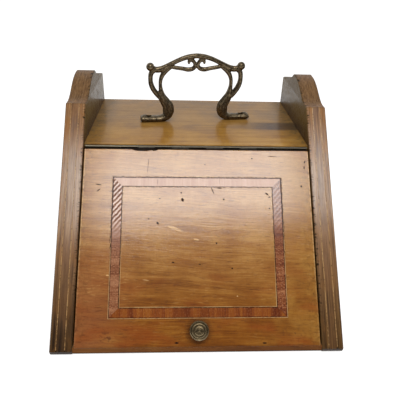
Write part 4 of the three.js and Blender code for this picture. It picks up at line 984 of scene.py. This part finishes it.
make_lid()
for which in ("left", "right"):
    make_side(which)
make_board("top_board", "fixed_top_board", BOARD_WOOD, 0.5 * MM)
make_board("base_board", "floor_board", PLAIN_WOOD, 0.6 * MM)
make_board("back_board", "rear_board", PLAIN_WOOD, 0.5 * MM)

# ---------------------------------------------------------------- finishes on carried-over pieces

CAD_FINISHES = {
    "left_glue_block": PLAIN_WOOD, "right_glue_block": PLAIN_WOOD,
    "left_inner_string": BOXWOOD, "left_outer_string": BOXWOOD,
    "right_inner_string": BOXWOOD, "right_outer_string": BOXWOOD,
    "coal_liner": JAPANNED, "hinge_pin": HINGE_STEEL,
    "outer_line_left": PALE_LINE, "outer_line_right": PALE_LINE,
    "outer_line_bottom": PALE_LINE, "outer_line_top": DARK_LINE,
    "inner_line_left": DARK_LINE, "inner_line_right": DARK_LINE,
    "inner_line_bottom": DARK_LINE, "inner_line_top": DARK_LINE,
}
for edge_name, veneer in BANDINGS.items():
    CAD_FINISHES[f"banding_{edge_name}"] = veneer
for node, finish in CAD_FINISHES.items():
    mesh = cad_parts[node].data
    mesh.materials.clear()
    mesh.materials.append(finish)

# ---------------------------------------------------------------- metalwork

KNUCKLES = 13  # along the hinge, turn about on the two leaves
KNUCKLE_RADIUS = 1.94 * MM
KNUCKLE_END = 0.1 * MM  # left free at each end of a knuckle
PIN_HOLE = 1.05 * MM


def make_leaf(node, body, first):
    """A leaf of the long hinge, with every second knuckle rolled smooth round the pin."""
    bm = merged(node)
    low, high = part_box("hinge_pin")
    pitch = (high.x - low.x) / KNUCKLES
    along = Matrix.Rotation(radians(90), 4, "Y")
    barrels = bmesh.new()
    for i in range(first, KNUCKLES, 2):
        place = Matrix.Translation((low.x + (i + 0.5) * pitch, HINGE_AXIS.y, HINGE_AXIS.z))
        add_cone(barrels, place @ along, KNUCKLE_RADIUS, KNUCKLE_RADIUS, pitch - 2 * KNUCKLE_END, 32)
    bm = carved(bm, barrels, "UNION")
    bore = bmesh.new()
    add_cone(bore, Matrix.Translation(HINGE_AXIS) @ along, PIN_HOLE, PIN_HOLE, 400 * MM, 24)
    bm = carved(bm, bore)
    name = node.replace("hinge_", "") + "_plate"
    return add_piece(name, bm, body, HINGE_STEEL, [node], 40.0)


make_leaf("hinge_board_leaf", "carcase", 0)
make_leaf("hinge_lid_leaf", "lid", 1)

# Turned profile of the knob: foot, waist, rim and three rings round a dimple.
KNOB_PROFILE = [
    (0, 0), (6.7, 0), (6.8, 0.3), (6.8, 1.4), (6.4, 1.8), (5.5, 2.8), (4.8, 3.8), (4.6, 4.8), (4.8, 5.9),
    (5.4, 7.2), (7.0, 8.4), (9.2, 9.3), (10.8, 10.3), (11.6, 11.3), (11.8, 12.2), (11.7, 13.2),
    (11.1, 14.0), (10.4, 14.4), (9.9, 14.2), (9.7, 13.8), (9.4, 14.1), (8.9, 15.1), (8.4, 15.6),
    (7.8, 15.9), (7.2, 15.8), (6.9, 15.4), (6.7, 15.3), (6.4, 15.7), (6.0, 16.5), (5.5, 17.1),
    (4.8, 17.4), (4.2, 17.5), (3.8, 17.2), (3.5, 16.7), (3.2, 16.8), (2.7, 17.1), (2.2, 16.9),
    (1.7, 16.3), (1.0, 15.9), (0, 15.8),
]


def make_knob():
    """The turned knob, seated square to the slope."""
    bm = spun(KNOB_PROFILE, 96)
    moved(bm, LID_PLACE @ Matrix.Translation((0, KNOB_UP_SLOPE, SEAT_GAP)))
    return add_piece("turned_knob", bm, "lid", KNOB_BRASS, ["lid_knob"], 40.0)


make_knob()

# The right half of the casting, as bars through stations [x, height above the board, half width] in
# hundredths of the handle's height, with half depths at the two ends in millimetres.
HANDLE_HEIGHT = 100.6 * MM
HANDLE_UNIT = HANDLE_HEIGHT / 100
LEG_BAR = [
    (38, 80, 2.5), (45, 75.3, 3.5), (50, 69, 3.3), (52.4, 62, 2.8), (52.8, 55, 2.7), (52.2, 48, 3.4),
    (50.5, 38, 5.7), (46, 30, 6.7), (41.8, 22.5, 7.4), (41.4, 14.5, 7.6), (45, 7.6, 6.4),
    (53, 4.6, 4.9), (63, 4.2, 4.6), (72, 4.5, 5.0), (79, 4.9, 5.3), (83.4, 5.0, 3.0),
]
EAR_BAR = [
    (56, 78.2, 2.9), (62, 76.4, 3.9), (66, 72, 3.7), (67, 64, 3.4), (66.2, 56.5, 3.7), (63.4, 49.5, 3.8),
    (59, 43, 3.8), (53.5, 36.5, 3.6),
]
SCROLL_BAR = [
    (38, 81.4, 2.6), (30, 79.9, 2.9), (20, 78.4, 3.0), (12, 77, 3.3), (5.2, 78.4, 3.2), (2.0, 82.6, 3.0),
    (3.4, 87.4, 2.7), (7.2, 90.6, 2.9), (11, 88.9, 2.5), (11.2, 85.0, 1.4),
]
ARCH_BAR = [
    (0, 96.4, 3.6), (10, 95.3, 3.6), (20, 92.7, 3.4), (30, 88.6, 3.3), (40, 83.6, 3.6), (49, 78.9, 4.4),
    (58, 77.3, 4.4), (65, 80.2, 3.6),
]
ROUNDEL = (66.8, 81.4, 6.0)  # the ball on the ear: station, height, and radius in millimetres
FLUTED_FROM = 3.6  # half width at which a bar's flutes begin, in hundredths
HANDLE_SKIN = 0.55 * MM  # fineness of the skin that joins the bars
HANDLE_SCREW = (71.4, 5.2)  # station, and millimetres above the board
SCREW_HOLE = 1.9 * MM
SEAT_LOW, SEAT_HIGH, SEAT_DEPTH = 3.8 * MM, 6.2 * MM, 12.0 * MM


def through(stations, steps):
    """Points on a smooth curve through the stations."""
    rows = [Vector(one) for one in stations]
    rows = [2 * rows[0] - rows[1]] + rows + [2 * rows[-1] - rows[-2]]
    for i in range(1, len(rows) - 2):
        a, b, c, d = rows[i - 1:i + 3]
        for step in range(steps + (i == len(rows) - 3)):
            t = step / steps
            yield 0.5 * (2 * b + (c - a) * t + (2 * a - 5 * b + 4 * c - d) * t * t
                         + (3 * b - a - 3 * c + d) * t ** 3)


def cast_bar(bm, stations, first_depth, last_depth, flutes=0):
    """A bar swept through the stations. Wide parts of it are fluted lengthways."""
    points = list(through(stations, 5))
    last_ring = None
    for i, point in enumerate(points):
        ahead = points[min(i + 1, len(points) - 1)] - points[max(i - 1, 0)]
        way = Vector((ahead.x, 0, ahead.y)).normalized()
        side = Vector((-way.z, 0, way.x))
        width = point.z * HANDLE_UNIT
        depth = (first_depth + (last_depth - first_depth) * i / (len(points) - 1)) * MM
        groove = max(0.0, point.z - FLUTED_FROM) * 0.035
        ring = bmesh.ops.create_circle(bm, segments=max(16, 4 * flutes), radius=1.0)["verts"]
        for vert in ring:
            swell = 1.0 + groove * cos(flutes * vert.co.xy.angle_signed(Vector((1, 0)))) if flutes else 1.0
            across, out = vert.co.x * swell, vert.co.y * swell
            vert.co = Vector((point.x, 0, point.y)) * HANDLE_UNIT + side * across * width
            vert.co.y = out * depth
        edges = list({edge for vert in ring for edge in vert.link_edges})
        if last_ring is None:
            bmesh.ops.contextual_create(bm, geom=edges)
        else:
            bmesh.ops.bridge_loops(bm, edges=last_ring + edges)
        last_ring = edges
    bmesh.ops.contextual_create(bm, geom=last_ring)


def make_handle():
    """The casting: its bars run into each other under one skin, with a dished seat for each screw."""
    bm = bmesh.new()
    cast_bar(bm, LEG_BAR, 3.7, 7.6, 14)
    cast_bar(bm, EAR_BAR, 3.8, 6.2, 8)
    cast_bar(bm, SCROLL_BAR, 3.1, 3.1)
    cast_bar(bm, ARCH_BAR, 3.7, 3.7)
    along, height, radius = ROUNDEL
    ball = bmesh.ops.create_uvsphere(bm, u_segments=24, v_segments=16, radius=radius * MM)["verts"]
    bmesh.ops.translate(bm, vec=(along * HANDLE_UNIT, 0, height * HANDLE_UNIT), verts=ball)
    copy = bmesh.ops.duplicate(bm, geom=bm.verts[:] + bm.edges[:] + bm.faces[:])["geom"]
    bmesh.ops.scale(bm, vec=(-1, 1, 1), verts=[v for v in copy if isinstance(v, bmesh.types.BMVert)])
    bmesh.ops.recalc_face_normals(bm, faces=bm.faces)
    rough = put_in_scene("handle_rough", bm)
    remesh = rough.modifiers.new("one_skin", "REMESH")
    remesh.mode, remesh.voxel_size = "VOXEL", HANDLE_SKIN
    smooth = rough.modifiers.new("flow", "SMOOTH")
    smooth.factor, smooth.iterations = 0.5, 4
    bm = shaped(rough)
    # everything below the seat, the two screw holes and their dishes is cut away
    tools = block((-100 * MM, -50 * MM, -50 * MM), (100 * MM, 50 * MM, SEAT_GAP))
    for side in (-1, 1):
        place = Matrix.Translation((side * HANDLE_SCREW[0] * HANDLE_UNIT, 0, HANDLE_SCREW[1] * MM))
        dish = place @ Matrix.Translation((0, 0, SEAT_DEPTH / 2))
        add_cone(tools, dish, SEAT_LOW, SEAT_HIGH, SEAT_DEPTH, 32)
        add_cone(tools, place, SCREW_HOLE, SCREW_HOLE, 30 * MM, 24)
    bm = carved(bm, tools)
    moved(bm, HANDLE_PLACE)
    return add_piece("scroll_handle", bm, "carcase", CAST_BRASS, ["carrying_handle"], 50.0)


make_handle()


def facing_matrix(place, outward):
    """Turns a screw made along Z, head at the top, to look outward at a place."""
    turn = Vector((0, 0, 1)).rotation_difference(Vector(outward)).to_matrix().to_4x4()
    return Matrix.Translation(place) @ turn


def make_screw(node, body, outward, slot_turn):
    """A slotted countersunk screw where the CAD node's is."""
    low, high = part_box(node)
    middle = (low + high) / 2
    way = Vector(outward)
    along = [i for i in range(3) if way[i]][0]
    head_at = middle.copy()
    head_at[along] = high[along] if way[along] > 0 else low[along]
    head = max((high - low)[i] for i in range(3) if i != along) / 2 / MM
    length = (high - low)[along] / MM
    shank = head * 0.48
    bm = spun([(0, -length), (shank * 0.5, -length + shank), (shank, -length + 3 * shank),
               (shank, -head + shank), (head, -0.25), (head * 0.97, -0.05), (head * 0.8, 0), (0, 0)], 24)
    half = head * 0.13 * MM
    slot = block((-head * MM * 1.1, -half, -head * 0.32 * MM), (head * MM * 1.1, half, 0.001))
    moved(slot, Matrix.Rotation(radians(slot_turn), 4, "Z"))
    bm = carved(bm, slot)
    moved(bm, facing_matrix(head_at, outward))
    return add_piece(node + "_slotted", bm, body, SCREW_STEEL, [node], 30.0)


turns = random.Random(7)
for number in range(1, 6):
    make_screw(f"hinge_board_screw_{number}", "carcase", (0, -1, 0), turns.uniform(0, 180))
    make_screw(f"hinge_lid_screw_{number}", "lid", (0, 1, 0), turns.uniform(0, 180))
for hand in ("left", "right"):
    make_screw(f"handle_screw_{hand}", "carcase", (0, 0, 1), turns.uniform(0, 180))
    for level in ("upper", "lower"):
        make_screw(f"socket_screw_{level}_{hand}", "carcase", (0, 1, 0), turns.uniform(0, 180))


# Its head is below the lid's inner face, and its end is in the knob.
KNOB_SCREW_PROFILE = [
    (0, -17.8), (1.3, -17.75), (2.3, -17.4), (3.0, -16.8), (3.2, -16.3), (3.2, -16.2), (2.0, -16.2),
    (2.0, 8.6), (1.5, 9.0), (0, 9.0),
]


def make_knob_screw():
    """The round-headed screw that holds the knob from inside the lid."""
    bm = spun(KNOB_SCREW_PROFILE, 24)
    bm = carved(bm, block((-5 * MM, -0.5 * MM, -20 * MM), (5 * MM, 0.5 * MM, -17 * MM)))
    moved(bm, LID_PLACE @ Matrix.Translation((0, KNOB_UP_SLOPE, 0)))
    return add_piece("knob_screw_slotted", bm, "lid", SCREW_STEEL, ["knob_screw"], 30.0)


make_knob_screw()


def make_rivet(node):
    """A rivet with a shallow dome at each end."""
    low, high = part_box(node)
    depth = (high - low).y / MM
    head = (high - low).z / 2 / MM
    dome = [(0, 0), (head * 0.45, 0.08), (head * 0.8, 0.45), (head, 1.15), (head, 1.2), (1.6, 1.2)]
    far = [(r, depth - h) for r, h in reversed(dome)]
    bm = spun(dome + far, 20)
    middle = (low + high) / 2
    moved(bm, facing_matrix(Vector((middle.x, low.y, middle.z)), (0, 1, 0)))
    return add_piece(node + "_domed", bm, "carcase", SCREW_STEEL, [node], 40.0)


for hand in ("left", "right"):
    for level in ("upper", "lower"):
        make_rivet(f"grip_rivet_{level}_{hand}")


def make_grip():
    """The liner's pulling grip, shaded round its bends."""
    bm = merged("liner_grip")
    return add_piece("pulling_grip", bm, "carcase", JAPANNED, ["liner_grip"], 50.0)


def make_socket():
    """The shovel socket, a bent brass strip with rounded bends."""
    bm = merged("shovel_socket")
    upright = [e for e in sharp_edges(bm, 12 * MM)
               if (e.verts[0].co - e.verts[1].co).xy.length < 1e-5]
    softened(bm, upright, 0.6 * MM, 3)
    return add_piece("shovel_holder", bm, "carcase", SHEET_BRASS, ["shovel_socket"],
                     smooth_angle=None)


make_grip()
make_socket()

# ---------------------------------------------------------------- studio

SOFT_BOX_AIM = on_lid(10.0, 175.0)
SOFT_BOX_DISTANCE = 1.3
SOFT_BOX_HEIGHT_ANGLE = radians(61.5)
SOFT_BOX_SIDE_ANGLE = radians(5)
SOFT_BOX_SIZE = (1.02, 0.38)
SOFT_BOX_BRIGHTNESS = 7.4
SOFT_BOX_COLOUR = (1.0, 0.985, 0.96)
ROOM_LIGHT = 0.5
FLOOR_GREY = (0.8, 0.8, 0.8, 1)
FLOOR_GLOW = 0.7
ROOM_GLOSS_FRONT = 0.04


def make_soft_box():
    """One wide lamp above and in front, hidden from the camera."""
    lamp = bpy.data.lights.new("soft_box", "AREA")
    lamp.shape = "RECTANGLE"
    lamp.size, lamp.size_y = SOFT_BOX_SIZE
    lamp.energy = SOFT_BOX_BRIGHTNESS * pi * lamp.size * lamp.size_y
    lamp.color = SOFT_BOX_COLOUR
    holder = bpy.data.objects.new("soft_box", lamp)
    holder.visible_camera = False
    bpy.context.scene.collection.objects.link(holder)
    way = Vector((sin(SOFT_BOX_SIDE_ANGLE) * cos(SOFT_BOX_HEIGHT_ANGLE),
                  -cos(SOFT_BOX_SIDE_ANGLE) * cos(SOFT_BOX_HEIGHT_ANGLE), sin(SOFT_BOX_HEIGHT_ANGLE)))
    holder.matrix_world = (Matrix.Translation(SOFT_BOX_AIM + way * SOFT_BOX_DISTANCE)
                           @ way.to_track_quat("Z", "Y").to_matrix().to_4x4())


def make_room():
    """White to the camera, an even light on the object, and white only behind it in its gloss."""
    world = bpy.data.worlds.new("studio")
    bpy.context.scene.world = world
    world.use_nodes = True
    world.cycles.sampling_method = "NONE"
    tree = world.node_tree
    tree.nodes.clear()
    w = Wires(tree)
    kind = w.node("ShaderNodeLightPath").outputs
    heading = w.split(w.node("ShaderNodeTexCoord").outputs["Generated"])
    gloss = w.remap(heading["Y"], -0.15, 0.25, ROOM_GLOSS_FRONT, 1.0)
    light = w.plus(w.times(w.rest(kind["Is Glossy Ray"]), ROOM_LIGHT),
                   w.times(kind["Is Glossy Ray"], gloss))
    seen = w.most(kind["Is Camera Ray"], kind["Is Transmission Ray"])
    light = w.plus(w.times(light, w.rest(seen)), seen)
    back = w.node("ShaderNodeBackground", Color=(1, 1, 1, 1), Strength=light)
    out = tree.nodes.new("ShaderNodeOutputWorld")
    tree.links.new(back.outputs[0], out.inputs["Surface"])


def make_floor():
    """A pale floor that takes the shadow, and glows to the camera so that it goes off into white."""
    bm = bmesh.new()
    bmesh.ops.create_grid(bm, x_segments=1, y_segments=1, size=4.0)
    floor = put_in_scene("pale_floor", bm)
    material = bpy.data.materials.new("pale_floor")
    material.use_nodes = True
    tree = material.node_tree
    tree.nodes.clear()
    w = Wires(tree)
    kind = w.node("ShaderNodeLightPath").outputs
    seen = w.most(kind["Is Camera Ray"], kind["Is Glossy Ray"], kind["Is Transmission Ray"])
    matte = w.node("ShaderNodeBsdfDiffuse", Color=FLOOR_GREY)
    glow = w.node("ShaderNodeEmission", Color=(1, 1, 1, 1), Strength=w.times(seen, FLOOR_GLOW))
    both = tree.nodes.new("ShaderNodeAddShader")
    tree.links.new(matte.outputs[0], both.inputs[0])
    tree.links.new(glow.outputs[0], both.inputs[1])
    out = tree.nodes.new("ShaderNodeOutputMaterial")
    tree.links.new(both.outputs[0], out.inputs["Surface"])
    floor.data.materials.append(material)


make_soft_box()
make_room()
make_floor()
bpy.context.scene.view_settings.view_transform = "Standard"
